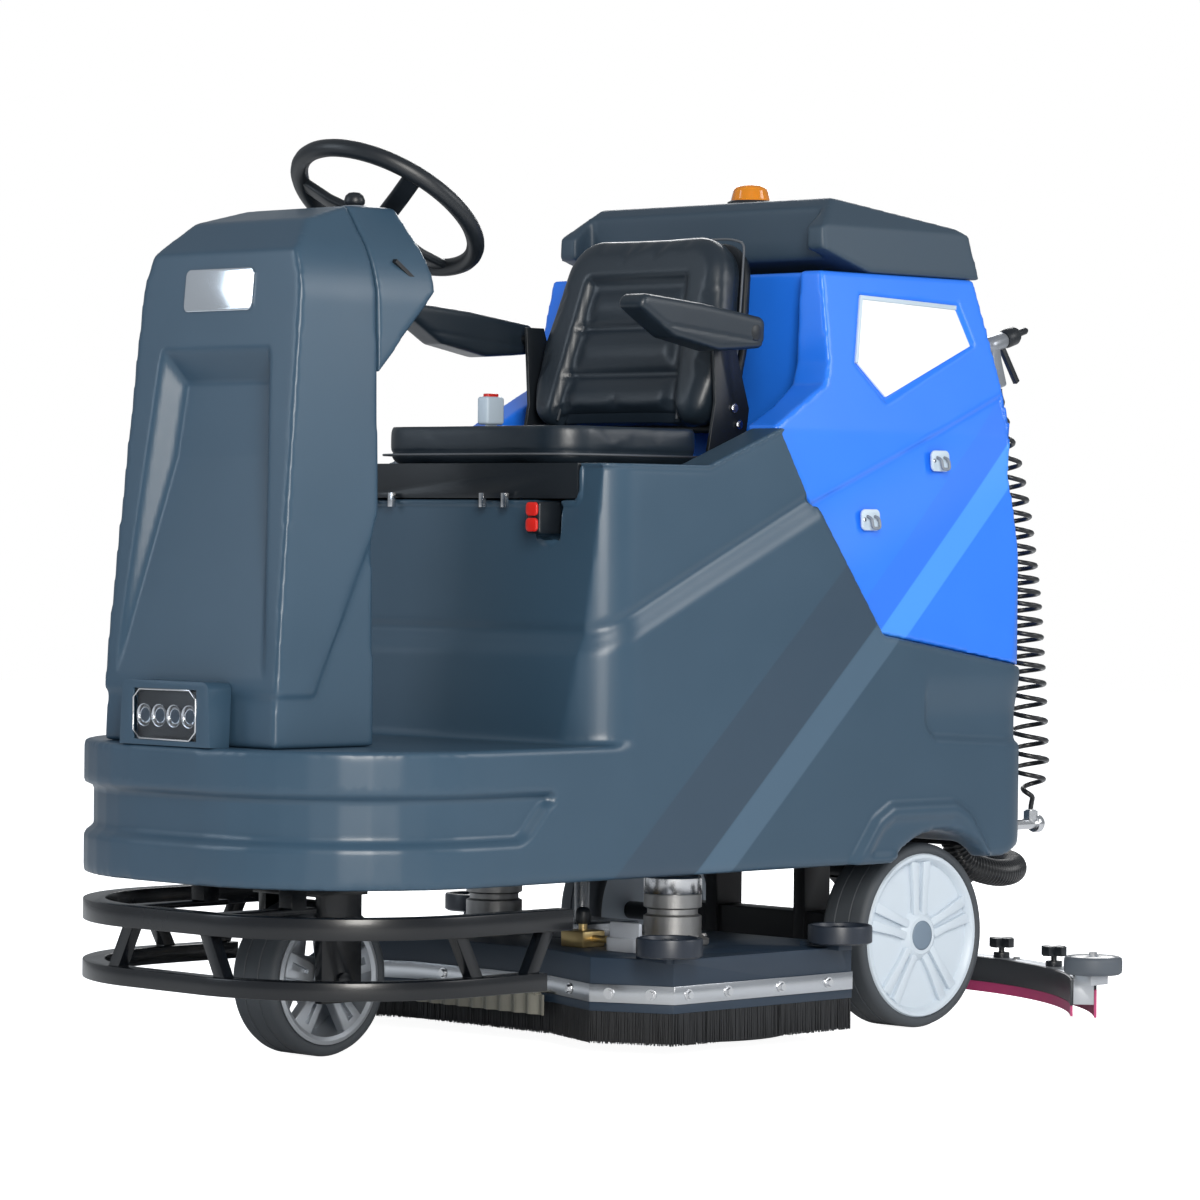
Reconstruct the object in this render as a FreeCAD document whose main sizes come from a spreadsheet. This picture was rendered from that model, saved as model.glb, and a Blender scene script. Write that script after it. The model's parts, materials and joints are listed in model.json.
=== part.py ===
import FreeCAD, Part
import math
import os
import re

import Sketcher

# Ride on scrubber. Millimetres. +Z up, the nose points to -Y, the driver's left is +X.
# The origin is on the floor under the middle of the machine.

# ---------------------------------------------------------------- sizes
SIZES = {
    # overall
    "nose_y": -905, "tail_y": 905, "body_half": 378, "body_rear": 664, "body_low": 275,
    "platform_top": 478, "box_top": 905, "seat_wall_low_y": -375, "seat_wall_top_y": -345,
    "shell_wall": 6, "nose_round": 300, "box_round": 95, "rear_round": 80,
    "seam_gap": 0.3, "plate_gap": 1.5, "slip": 0.05, "rest_gap": 0.3,
    # seam between the lower body and the tank
    "rise_y": -128, "crest_y": 41, "crest_z": 968, "notch_y": 113, "notch_z": 854,
    "knee_y": 278, "knee_z": 641, "joint_rear_z": 581, "tail_low": 300,
    # wheels
    "rear_axle_y": 415, "rear_wheel_r": 150, "rear_wheel_wide": 90, "rear_wheel_face": 345,
    "rear_rim_r": 133, "rear_shaft_r": 15, "arch_gap": 22, "flare_wide": 28, "flare_proud": 5,
    "front_axle_y": -611, "front_wheel_r": 118, "front_wheel_wide": 94, "front_rim_r": 100,
    "front_shaft_r": 12,
    # steel frame
    "rail_x": 100, "rail_wide": 40, "rail_low": 290, "rail_high": 330,
    "turret_r": 50, "head_low": 290, "head_high": 302,
    "jack_pad_y": 320, "jack_pad_long": 50, "jack_pad_low": 284,
    # front guard
    "guard_half": 368, "guard_wide": 34, "guard_top_high": 235, "guard_top_low": 203,
    "guard_low_high": 142, "guard_low_low": 115, "guard_top_end": -411, "guard_low_end": -464,
    "guard_round": 285,
    # column and dash
    "column_half_low": 203, "column_half_top": 181, "column_top": 1286,
    "column_front_low": -866, "column_front_mid": -850, "column_front_top": -797,
    "column_back": -663, "seam_y": -650, "face_top": 1212, "pod_back": -529, "pod_back_z": 1182,
    "pod_low_z": 1033,
    # steering wheel
    "hub_y": -465, "hub_z": 1296, "rim_ring_r": 150, "rim_bar_r": 14, "rim_tilt": 34.6,
    "steer_shaft_r": 9, "steer_tube_r": 15,
    # tank and lid
    "tank_half_low": 371, "tank_half_mid": 352, "tank_half_top": 304, "tank_wall": 6,
    "tank_front": 228, "bay_back": 222, "tank_top": 1222, "tank_rear_top": 571, "tank_rear_mid": 618,
    "lid_half": 303, "lid_front": 205, "lid_rear": 586, "lid_high": 1344, "lid_rear_high": 1306,
    "lid_wall": 5, "lid_hinge_y": 594, "lid_hinge_z": 1224, "lid_pin_r": 3.5, "lid_knuckle_r": 7.5,
    "lid_hinge_x": 170, "beacon_y": 356, "beacon_r": 34,
    # seat
    "plate_half": 298, "plate_back": 118, "plate_low": 851, "cushion_half": 228,
    "cushion_front": -300, "cushion_back": 28, "cushion_high": 965, "back_half": 208,
    "arm_in": 232, "arm_out": 292, "arm_pivot_y": 62, "arm_pivot_z": 1118, "bracket_thick": 6,
    # brush deck
    "deck_half": 404, "deck_y": -25, "deck_low": 82, "deck_high": 150, "deck_wall": 10,
    "skirt_low": 18, "band_low": 82, "band_high": 110, "band_thick": 3, "brush_x": 203,
    "brush_r": 184, "bristle_low": 14, "motor_r": 46, "motor_high": 262, "drive_pin_r": 11,
    "roller_r": 51, "roller_low": 157, "roller_high": 187, "roller_x": 415,
    "roller_front_y": -252, "roller_rear_y": 135, "roller_pin_r": 8, "lift_rod_r": 12,
    # squeegee
    "bar_r": 655, "bar_deep": 44, "bar_low": 34, "bar_high": 74, "bar_sweep": 51,
    "blade_low": 12, "side_wheel_r": 48, "side_wheel_low": 85, "side_wheel_high": 115,
    "side_wheel_x": 508, "side_wheel_y": 652, "swing_y": 790, "swing_pin_r": 8, "arm_hinge_y": 606,
    "arm_hinge_z": 232, "arm_hinge_r": 8,
    # hoses and spray gun
    "gun_x": 285, "gun_y": 640, "gun_z": 1118, "coil_r": 34, "vac_hose_r": 23,
    "outlet_x": 240, "outlet_y": 600, "outlet_low": 362, "tap_x": 302, "tap_z": 318, "tap_y": 737,
    "trigger_pin_r": 2,
}

doc = FreeCAD.newDocument("RideOnScrubber")
sheet = doc.addObject("Spreadsheet::Sheet", "Sizes")
for row, (word, number) in enumerate(SIZES.items(), start=1):
    sheet.set("A%d" % row, word)
    sheet.set("B%d" % row, str(number))
    sheet.setAlias("B%d" % row, word)
doc.recompute()

PARTS = []


# ---------------------------------------------------------------- helpers
def tied(formula):
    """The formula with every size's word pointed at the spreadsheet."""
    def cell(match):
        word = match.group()
        return "Sizes." + word if word in SIZES else word
    return re.sub(r"[a-z]\w*", cell, str(formula))


def set_place(piece, **places):
    for axis, formula in places.items():
        piece.setExpression(".Placement.Base." + axis, tied(formula))
    return piece


def box(name, x, y, z):
    """A block between (low, high) pairs on each axis."""
    piece = doc.addObject("Part::Box", name)
    for side, axis, (low, high) in zip(("Length", "Width", "Height"), "xyz", (x, y, z)):
        piece.setExpression(side, tied("(%s) - (%s)" % (high, low)))
        set_place(piece, **{axis: low})
    return piece


TURNS = {
    "x": FreeCAD.Rotation(FreeCAD.Vector(0, 1, 0), 90),
    "y": FreeCAD.Rotation(FreeCAD.Vector(1, 0, 0), -90),
    "z": FreeCAD.Rotation(),
}


def on_axis(piece, axis, centre, low):
    """Stand a round primitive on an axis; centre gives its other two places in X, Y, Z order."""
    piece.Placement = FreeCAD.Placement(FreeCAD.Vector(), TURNS[axis])
    others = [letter for letter in "xyz" if letter != axis]
    return set_place(piece, **dict(zip(others, centre), **{axis: low}))


def cylinder(name, axis, centre, span, radius):
    piece = doc.addObject("Part::Cylinder", name)
    piece.setExpression("Radius", tied(radius))
    piece.setExpression("Height", tied("(%s) - (%s)" % (span[1], span[0])))
    return on_axis(piece, axis, centre, span[0])


def cut(name, base, *tools):
    piece = doc.addObject("Part::Cut", name)
    piece.Base = base
    piece.Tool = tools[0] if len(tools) == 1 else joined(name + "Tools", *tools)
    return piece


def joined(name, *pieces):
    piece = doc.addObject("Part::MultiFuse", name)
    piece.Shapes = list(pieces)
    piece.Refine = True
    return piece


def shared(name, *pieces):
    """The space that all the pieces have in common."""
    piece = doc.addObject("Part::MultiCommon", name)
    piece.Shapes = list(pieces)
    return piece


def group(name, *pieces):
    """Separate solids kept in one node."""
    piece = doc.addObject("Part::Compound", name)
    piece.Links = list(pieces)
    return piece


def mirrored(name, piece):
    """A copy on the other side of the centre plane."""
    copy = doc.addObject("Part::Mirroring", name)
    copy.Source = piece
    copy.Normal = FreeCAD.Vector(1, 0, 0)
    return copy


def ring(name, axis, centre, span, outer, inner):
    return cut(name, cylinder(name + "Outside", axis, centre, span, outer),
               cylinder(name + "Bore", axis, centre, span, inner))


PLANES = {"XY": ("XY_Plane", 1), "XZ": ("XZ_Plane", -1), "YZ": ("YZ_Plane", 1)}


def prism(name, plane, corners, span, rounds=()):
    """A padded outline. corners are (across, up) formulas, span is (low, high) along the plane's
    normal axis, rounds lists (corner numbers, radius formula)."""
    role, way = PLANES[plane]
    body = doc.addObject("PartDesign::Body", name)
    sketch = body.newObject("Sketcher::SketchObject", name + "Outline")
    origin_plane = [item for item in body.Origin.OriginFeatures if item.Role == role][0]
    sketch.AttachmentSupport = (origin_plane, "")
    sketch.MapMode = "FlatFace"
    start = span[0] if way == 1 else "-(%s)" % span[1]
    sketch.setExpression(".AttachmentOffset.Base.z", tied(start))
    count = len(corners)
    for index in range(count):
        turn = 2 * math.pi * index / count
        ahead = 2 * math.pi * (index + 1) / count
        sketch.addGeometry(Part.LineSegment(
            FreeCAD.Vector(100 * math.cos(turn), 100 * math.sin(turn), 0),
            FreeCAD.Vector(100 * math.cos(ahead), 100 * math.sin(ahead), 0)))
    for index in range(count):
        sketch.addConstraint(Sketcher.Constraint("Coincident", index, 2, (index + 1) % count, 1))
    for index, corner in enumerate(corners):
        for kind, formula in zip(("DistanceX", "DistanceY"), corner):
            number = sketch.addConstraint(Sketcher.Constraint(kind, -1, 1, index, 1, 50.0 + index))
            sketch.setExpression("Constraints[%d]" % number, tied(formula))
    pad = body.newObject("PartDesign::Pad", name + "Pad")
    pad.Profile = sketch
    pad.setExpression("Length", tied("(%s) - (%s)" % (span[1], span[0])))
    body.Tip = pad
    doc.recompute()
    for order, (numbers, radius) in enumerate(rounds):
        tip = body.Tip
        fillet = body.newObject("PartDesign::Fillet", "%sRound%d" % (name, order))
        fillet.Base = (tip, edges_at(tip.Shape, sketch, numbers))
        fillet.setExpression("Radius", tied(radius))
        body.Tip = fillet
        doc.recompute()
    return body


def edges_at(shape, sketch, numbers):
    """Names of the edges that stand on the sketch's numbered corners."""
    normal = sketch.Placement.Rotation.multVec(FreeCAD.Vector(0, 0, 1))
    names = []
    for number in numbers:
        corner = sketch.Placement.multVec(sketch.Geometry[number].StartPoint)
        for index, edge in enumerate(shape.Edges, start=1):
            ends = [vertex.Point for vertex in edge.Vertexes]
            if len(ends) == 2 and all((end - corner).cross(normal).Length < 0.01 for end in ends):
                names.append("Edge%d" % index)
    return names


def part(node, piece):
    """Name a finished sub-part; its label names its file."""
    piece.Label = node
    PARTS.append(piece)
    return piece


def both_sides(formula):
    return ("-(%s)" % formula, formula)


def between(middle, half):
    """A span of a half width to each side of a middle."""
    return ("(%s) - (%s)" % (middle, half), "(%s) + (%s)" % (middle, half))


# ---------------------------------------------------------------- frame
def chassis_frame():
    rails = [box("Rail" + side, between(sign + "rail_x", "rail_wide / 2"),
                 ("-760", "body_rear - 24"), ("rail_low", "rail_high"))
             for side, sign in (("Left", ""), ("Right", "-"))]
    ties = [box("CrossTie%d" % number, both_sides("body_half - shell_wall"),
                between(middle, "20"), ("rail_low", "rail_high"))
            for number, middle in enumerate(("-330", "230", "body_rear - 110"))]
    lift_tie = box("LiftTie", both_sides("rail_x"), between("deck_y", "34"), ("rail_low", "rail_high"))
    nose_tie = box("NoseTie", both_sides("rail_x"), ("-760", "-720"), ("rail_low", "rail_high"))
    head = box("HeadPlate", both_sides("rail_x"), between("front_axle_y", "90"), ("head_low", "head_high"))
    hangers = [box("AxleHanger" + side, between(sign + "rail_x", "12"), between("rear_axle_y", "32"),
                   ("rear_wheel_r - 30", "rail_low"))
               for side, sign in (("Left", ""), ("Right", "-"))]
    ears = [box("SqueegeeEar" + side, between(sign + "(rail_x - 14)", "6"), between("arm_hinge_y", "22"),
                ("arm_hinge_z - 20", "rail_low"))
            for side, sign in (("Left", ""), ("Right", "-"))]
    # flat pads that a jack or a stand takes hold of
    jack_pads = [box("JackPad" + side, between(sign + "rail_x", "rail_wide / 2 - 2"),
                     between("jack_pad_y", "jack_pad_long / 2"), ("jack_pad_low", "rail_low"))
                 for side, sign in (("Left", ""), ("Right", "-"))]
    hinge_pin = cylinder("SqueegeeHingePin", "x", ("arm_hinge_y", "arm_hinge_z"),
                         both_sides("rail_x - 8"), "arm_hinge_r")
    frame = joined("FrameStock", *rails, *ties, lift_tie, nose_tie, head, *hangers, *ears,
                   *jack_pads, hinge_pin)
    part("chassis_frame", cut("ChassisFrame", frame,
         cylinder("TurretHole", "z", ("0", "front_axle_y"), ("head_low - 5", "head_high + 5"),
                  "turret_r + slip"),
         cylinder("LiftTubeHole", "z", ("0", "deck_y"), ("rail_low - 5", "rail_high + 5"),
                  "lift_rod_r + 12"),
         box("AxleSlot", both_sides("rail_x + 20"), between("rear_axle_y", "25"),
             ("rear_wheel_r - 25", "rear_wheel_r + 25"))))


def rear_axle():
    beam = box("AxleBeam", both_sides("rear_wheel_face - rear_wheel_wide - 12"),
               between("rear_axle_y", "25"), ("rear_wheel_r - 25", "rear_wheel_r + 25"))
    shaft = cylinder("AxleShaft", "x", ("rear_axle_y", "rear_wheel_r"),
                     both_sides("rear_wheel_face - 6"), "rear_shaft_r")
    part("rear_axle", joined("RearAxle", beam, shaft))


def lift_actuator():
    part("lift_actuator", ring("LiftActuator", "z", ("0", "deck_y"), ("rail_low - 10", "520"),
                               "lift_rod_r + 12", "lift_rod_r + slip"))


# ---------------------------------------------------------------- lower body
def box_side(inset):
    """Side outline of the seat box, moved in by the inset."""
    return [("seat_wall_low_y + %s" % inset, "body_low - 1 * %s" % inset),
            ("seat_wall_low_y + %s" % inset, "platform_top"),
            ("seat_wall_top_y + %s" % inset, "box_top - %s" % inset),
            ("rise_y + %s / 2" % inset, "box_top - %s" % inset),
            ("crest_y", "crest_z - %s" % inset),
            ("notch_y - %s" % inset, "notch_z - %s / 2" % inset),
            ("knee_y - %s" % inset, "knee_z - %s" % inset),
            ("body_rear - %s" % inset, "joint_rear_z - %s" % inset),
            ("body_rear - %s" % inset, "tail_low - %s" % inset),
            ("body_rear - 84", "body_low - %s" % inset)]


def box_mould(name, inset):
    side = prism(name + "Side", "YZ", box_side(inset), both_sides("body_half"))
    plan = prism(name + "Plan", "XY",
                 [("-body_half + %s" % inset, "seat_wall_low_y + %s" % inset),
                  ("body_half - %s" % inset, "seat_wall_low_y + %s" % inset),
                  ("body_half - %s" % inset, "body_rear - %s" % inset),
                  ("-body_half + %s" % inset, "body_rear - %s" % inset)],
                 ("body_low - 20", "crest_z + 20"),
                 [((0, 1), "box_round - %s" % inset), ((2, 3), "rear_round - %s" % inset)])
    return shared(name, side, plan)


def platform_mould(name, inset, low, high):
    return prism(name, "XY",
                 [("-body_half + %s" % inset, "nose_y + %s" % inset),
                  ("body_half - %s" % inset, "nose_y + %s" % inset),
                  ("body_half - %s" % inset, "seat_wall_low_y + 150"),
                  ("-body_half + %s" % inset, "seat_wall_low_y + 150")],
                 (low, high), [((0, 1), "nose_round - %s" % inset)])


def main_body():
    outside = joined("BodyOutside", box_mould("BoxOuter", "0"),
                     platform_mould("PlatformOuter", "0", "body_low", "platform_top"))
    inside = joined("BodyInside", box_mould("BoxInner", "shell_wall"),
                    platform_mould("PlatformInner", "shell_wall", "body_low - 10",
                                   "platform_top - shell_wall"))
    well = box("SeatWell", both_sides("plate_half + plate_gap"), ("seat_wall_low_y - 20", "bay_back"),
               ("plate_low - plate_gap", "crest_z + 20"))
    arch = cylinder("WheelArch", "x", ("rear_axle_y", "rear_wheel_r"), both_sides("body_half + 20"),
                    "rear_wheel_r + arch_gap")
    plug_hole = box("PlugHole", ("222", "252"), ("seat_wall_low_y - 20", "seat_wall_low_y + 46"),
                    ("797", "846"))
    pipe_hole = cylinder("OutletHole", "z", ("outlet_x", "outlet_y"), ("joint_rear_z - 40", "knee_z"),
                         "vac_hose_r + 2")
    shell = cut("BodyShell", outside, inside, well, arch, plug_hole, pipe_hole)
    flares = []
    for side, (low, high) in (("Left", ("body_half - shell_wall", "body_half + flare_proud")),
                              ("Right", ("-body_half - flare_proud", "-body_half + shell_wall"))):
        hoop = ring("Flare" + side, "x", ("rear_axle_y", "rear_wheel_r"), (low, high),
                    "rear_wheel_r + arch_gap + flare_wide", "rear_wheel_r + arch_gap")
        upper = box("FlareZone" + side, (low, high), between("rear_axle_y", "260"),
                    ("body_low + 5", "body_low + 200"))
        flares.append(shared("FlareHoop" + side, hoop, upper))
    part("main_body", joined("MainBody", shell, *flares))


def battery_pack():
    """Four traction batteries on the frame's tray, and their two-lobe plug in the front wall."""
    tray = box("BatteryTray", both_sides("250"), ("-345", "215"), ("rail_high", "rail_high + 8"))
    blocks = [box("Battery%d" % number, between(x, "82"), between(y, "118"),
                  ("rail_high + 8", "rail_high + 290"))
              for number, (x, y) in enumerate((("-160", "-205"), ("160", "-205"),
                                               ("-160", "75"), ("160", "75")))]
    tray_cut = cut("TrayPlate", tray, cylinder("TrayHole", "z", ("0", "deck_y"),
                                               ("rail_high - 5", "rail_high + 20"), "lift_rod_r + 13"))
    plug = prism("ConnectorPlug", "YZ", [("seat_wall_low_y - 2", "797"), ("seat_wall_low_y + 46", "797"),
                                         ("seat_wall_low_y + 46", "846"), ("seat_wall_low_y - 2", "846")],
                 ("222", "252"), [((0, 3), "5")])
    part("battery_pack", group("BatteryPack", tray_cut, plug, *blocks))


# ---------------------------------------------------------------- front guard
def guard_rail(name, low, high, end):
    def outline(inset, back):
        return [("-guard_half + %s" % inset, "nose_y + %s" % inset), ("guard_half - %s" % inset,
                "nose_y + %s" % inset), ("guard_half - %s" % inset, back),
                ("-guard_half + %s" % inset, back)]
    outer = prism(name + "Outer", "XY", outline("0", end), (low, high), [((0, 1), "guard_round")])
    inner = prism(name + "Inner", "XY", outline("guard_wide", "%s + 10" % end),
                  ("%s - 5" % low, "%s + 5" % high), [((0, 1), "guard_round - guard_wide")])
    return cut(name, outer, inner)


def front_guard():
    top = guard_rail("GuardTop", "guard_top_low", "guard_top_high", "guard_top_end")
    low = guard_rail("GuardLow", "guard_low_low", "guard_low_high", "guard_low_end")
    posts = []
    lean = 34
    for number, (sign, top_x) in enumerate((("", "88"), ("-", "88"))):
        posts.append(prism("FrontPost%d" % number, "XZ",
                           [(sign + "(%s - 12)" % top_x, "guard_top_low + 2"),
                            (sign + "(%s + 12)" % top_x, "guard_top_low + 2"),
                            (sign + "(%s + 12 + %d)" % (top_x, lean), "guard_low_high - 2"),
                            (sign + "(%s - 12 + %d)" % (top_x, lean), "guard_low_high - 2")],
                           ("nose_y + 8", "nose_y + guard_wide - 6")))
    for number, (front_y, sweep) in enumerate((("-600", -lean), ("guard_low_end - 24", lean))):
        for side in ("", "-"):
            span = (side + "(guard_half - guard_wide + 6)", side + "(guard_half - 8)")
            if side:
                span = (span[1], span[0])
            posts.append(prism("SidePost%d%s" % (number, "R" if side else "L"), "YZ",
                               [("%s - 12" % front_y, "guard_low_high - 2"),
                                ("%s + 12" % front_y, "guard_low_high - 2"),
                                ("%s + 12 + %d" % (front_y, sweep), "guard_top_low + 2"),
                                ("%s - 12 + %d" % (front_y, sweep), "guard_top_low + 2")], span))
    bars = [box("GuardBar" + side, between(sign + "rail_x", "15"), ("nose_y + 10", "-700"),
                ("guard_top_high - 8", "guard_top_high"))
            for side, sign in (("Left", ""), ("Right", "-"))]
    hangers = [box("GuardHanger" + side, between(sign + "rail_x", "15"), ("-750", "-720"),
                   ("guard_top_high - 8", "rail_low"))
               for side, sign in (("Left", ""), ("Right", "-"))]
    part("front_guard", joined("FrontGuard", top, low, *posts, *bars, *hangers))


# ---------------------------------------------------------------- column
def column_side(inset):
    return [("column_front_low + %s" % inset, "platform_top"), ("column_front_mid + %s" % inset, "660"),
            ("column_front_top + %s" % inset, "face_top"),
            ("column_front_top + 52 + %s" % inset, "column_top - 22 - %s" % inset),
            ("seam_y", "column_top - %s" % inset), ("seam_y", "pod_low_z - 2"),
            ("column_back - %s" % inset, "pod_low_z - 12"), ("column_back - %s" % inset, "platform_top")]


def column_face(inset):
    return [("-column_half_low + %s" % inset, "platform_top"),
            ("-column_half_top + %s" % inset, "face_top"),
            ("-column_half_top + 60 + %s" % inset, "column_top + 2 - %s" % inset),
            ("column_half_top - 60 - %s" % inset, "column_top + 2 - %s" % inset),
            ("column_half_top - %s" % inset, "face_top"), ("column_half_low - %s" % inset, "platform_top")]


def column_mould(name, side, inset):
    across = prism(name + "Side", "YZ", side, both_sides("column_half_low"))
    face = prism(name + "Face", "XZ", column_face(inset), ("column_front_low", "pod_back"))
    return shared(name, across, face)


def column_cowl():
    outer = column_mould("CowlOuter", column_side("0"), "0")
    inner = column_mould("CowlInner", column_side("shell_wall"), "shell_wall")
    part("column_cowl", cut("ColumnCowl", outer, inner,
                            box("LampHole", both_sides("84"),
                                ("column_front_low - 10", "column_front_low + 30"),
                                ("486", "566"))))


def pod_side(inset):
    return [("seam_y + seam_gap", "pod_low_z + %s" % inset),
            ("seam_y + seam_gap", "column_top - %s" % inset),
            ("pod_back - 24 - %s" % inset, "column_top + 2 - %s" % inset),
            ("pod_back - %s" % inset, "pod_back_z"),
            ("pod_back - %s" % inset, "pod_back_z - 32 + %s / 2" % inset)]


def steer_placement(along):
    """Place on the tilted steering axis, a distance along it above the rim's centre."""
    tilt = FreeCAD.Rotation(FreeCAD.Vector(1, 0, 0), -SIZES["rim_tilt"])
    centre = FreeCAD.Vector(0, SIZES["hub_y"], SIZES["hub_z"])
    return FreeCAD.Placement(centre + tilt.multVec(FreeCAD.Vector(0, 0, along)), tilt)


def tilted(name, radius, low, high):
    """A cylinder on the steering axis between two distances from the rim's centre."""
    piece = doc.addObject("Part::Cylinder", name)
    piece.setExpression("Radius", tied(radius))
    piece.Height = high - low
    piece.Placement = steer_placement(low)
    return piece


def dash_pod():
    outer = column_mould("PodOuter", pod_side("0"), "0")
    inner = column_mould("PodInner", pod_side("shell_wall"), "shell_wall")
    hole = tilted("PodHole", "steer_tube_r + 1", -150, -60)
    spot = ("78", "seam_y + 46")
    seat = cylinder("KnobSeat", "z", spot, ("column_top - 4", "column_top + 3"), "20")
    post = cylinder("KnobPost", "z", spot, ("column_top", "column_top + 10"), "4")
    part("dash_pod", joined("DashPod", cut("PodShell", outer, inner, hole), seat, post))


def steering_column():
    tube = tilted("SteerTube", "steer_tube_r", -176, -92)
    bearer = doc.addObject("Part::Box", "SteerBearer")
    bearer.setExpression("Length", tied("2 * (column_half_top - shell_wall)"))
    bearer.Width = 64
    bearer.Height = 6
    bearer.Placement = steer_placement(-160)
    start = FreeCAD.Vector(SIZES["shell_wall"] - SIZES["column_half_top"], -64, 0)
    shift = steer_placement(-160).Rotation.multVec(start)
    bearer.Placement.Base = bearer.Placement.Base + shift
    bore = tilted("SteerBore", "steer_shaft_r + slip", -195, -85)
    part("steering_column", cut("SteeringColumn", joined("SteerStock", tube, bearer), bore))


def headlight():
    bezel = prism("BezelBlock", "XZ", [("-104", "464"), ("104", "464"), ("98", "574"), ("-98", "574")],
                  ("nose_y + 2", "column_front_mid"), [((0, 1, 2, 3), "14")])
    frame = cut("HeadlightFrame", bezel, doc.getObject("CowlOuter"),
         box("BezelWindow", both_sides("72"), ("nose_y - 5", "nose_y + 22"), ("486", "562")),
         box("BezelPlatform", both_sides("120"), ("nose_y + 1", "column_front_mid + 5"),
             ("440", "platform_top")))
    shell = box("LampShell", both_sides("72"), ("nose_y + 16", "nose_y + 22"), ("486", "562"))
    bowls = [cylinder("Reflector%d" % number, "y", (x, "522"), ("nose_y + 10", "nose_y + 16"), "14")
             for number, x in enumerate(("-48", "-16", "16", "48"))]
    part("headlight_bezel", joined("HeadlightBezel", frame, shell, *bowls))
    part("headlight_lens", box("HeadlightLens", both_sides("72"), ("nose_y + 5", "nose_y + 9.5"),
                               ("486", "562")))


def accelerator_pedal():
    pad = prism("PedalPad", "YZ", [("-520", "platform_top + 12"), ("-512", "platform_top + 20"),
                                   ("-634", "platform_top + 74"), ("-640", "platform_top + 66")],
                ("-178", "-108"))
    tube = cylinder("PedalTube", "x", ("-516", "platform_top + 16"), ("-178", "-108"), "11")
    bore = cylinder("PedalBore", "x", ("-516", "platform_top + 16"), ("-190", "-96"), "5 + slip")
    part("accelerator_pedal", cut("AcceleratorPedal", joined("PedalStock", pad, tube), bore))
    ears = [box("PedalEar%d" % number, between(x, "4"), between("-516", "9"),
                ("platform_top", "platform_top + 27")) for number, x in enumerate(("-184", "-102"))]
    pin = cylinder("PedalPin", "x", ("-516", "platform_top + 16"), ("-188", "-98"), "5")
    return joined("PedalBracket", *ears, pin)


# ---------------------------------------------------------------- steering wheel
def steering_wheel():
    rim = doc.addObject("Part::Torus", "SteerRim")
    rim.setExpression("Radius1", tied("rim_ring_r"))
    rim.setExpression("Radius2", tied("rim_bar_r"))
    rim.Placement = steer_placement(0)
    hub = tilted("SteerHub", "26", -46, -18)
    spokes = []
    for number, turn in enumerate((90, 210, 330)):
        spoke = doc.addObject("Part::Box", "Spoke%d" % number)
        spoke.Length = math.hypot(SIZES["rim_ring_r"] - 12, 28)
        spoke.Width = 26
        spoke.Height = 8
        rise = math.degrees(math.atan2(28, SIZES["rim_ring_r"] - 12))
        place = steer_placement(-36).multiply(FreeCAD.Placement(
            FreeCAD.Vector(), FreeCAD.Rotation(FreeCAD.Vector(0, 0, 1), turn)))
        place = place.multiply(FreeCAD.Placement(FreeCAD.Vector(8, -13, -4), FreeCAD.Rotation(
            FreeCAD.Vector(0, 1, 0), -rise)))
        spoke.Placement = place
        spokes.append(spoke)
    bore = tilted("SteerHubBore", "steer_shaft_r", -50, -24)
    part("steering_wheel", cut("SteeringWheel", joined("SteerWheelStock", rim, hub, *spokes), bore))
    rod = tilted("SteerRod", "steer_shaft_r", -190, -24)
    yoke = tilted("SteerYoke", "steer_shaft_r + 4", -192, -176.3)
    part("steering_shaft", joined("SteeringShaft", rod, yoke))


def speed_knob():
    """Round speed knob on the driver's face of the dash."""
    knob = cylinder("KnobCap", "z", ("78", "seam_y + 46"), ("column_top + 3.4", "column_top + 24"), "16")
    part("speed_knob", cut("SpeedKnob", knob,
                           cylinder("KnobBore", "z", ("78", "seam_y + 46"),
                                    ("column_top", "column_top + 11"), "4 + slip")))


# ---------------------------------------------------------------- front wheel and fork
def front_fork():
    turret = cylinder("Turret", "z", ("0", "front_axle_y"), ("head_low - 44", "head_high + 4"), "turret_r")
    crown = box("Crown", both_sides("front_wheel_wide / 2 + 26"), between("front_axle_y", "52"),
                ("head_low - 44", "head_low - 32"))
    legs = []
    for side, sign in (("Left", ""), ("Right", "-")):
        low = "%s(front_wheel_wide / 2 + 10)" % sign
        high = "%s(front_wheel_wide / 2 + 26)" % sign
        span = (low, high) if not sign else (high, low)
        legs.append(box("Leg" + side, span, between("front_axle_y", "40"),
                        ("front_wheel_r - 34", "head_low - 44")))
    axle = cylinder("FrontAxle", "x", ("front_axle_y", "front_wheel_r"),
                    both_sides("front_wheel_wide / 2 + 34"), "front_shaft_r")
    part("front_fork", joined("FrontFork", turret, crown, axle, *legs))
    motor = cylinder("DriveMotorCan", "z", ("0", "front_axle_y"), ("head_high + 4", "head_high + 140"),
                     "62")
    part("drive_motor", motor)


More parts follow.
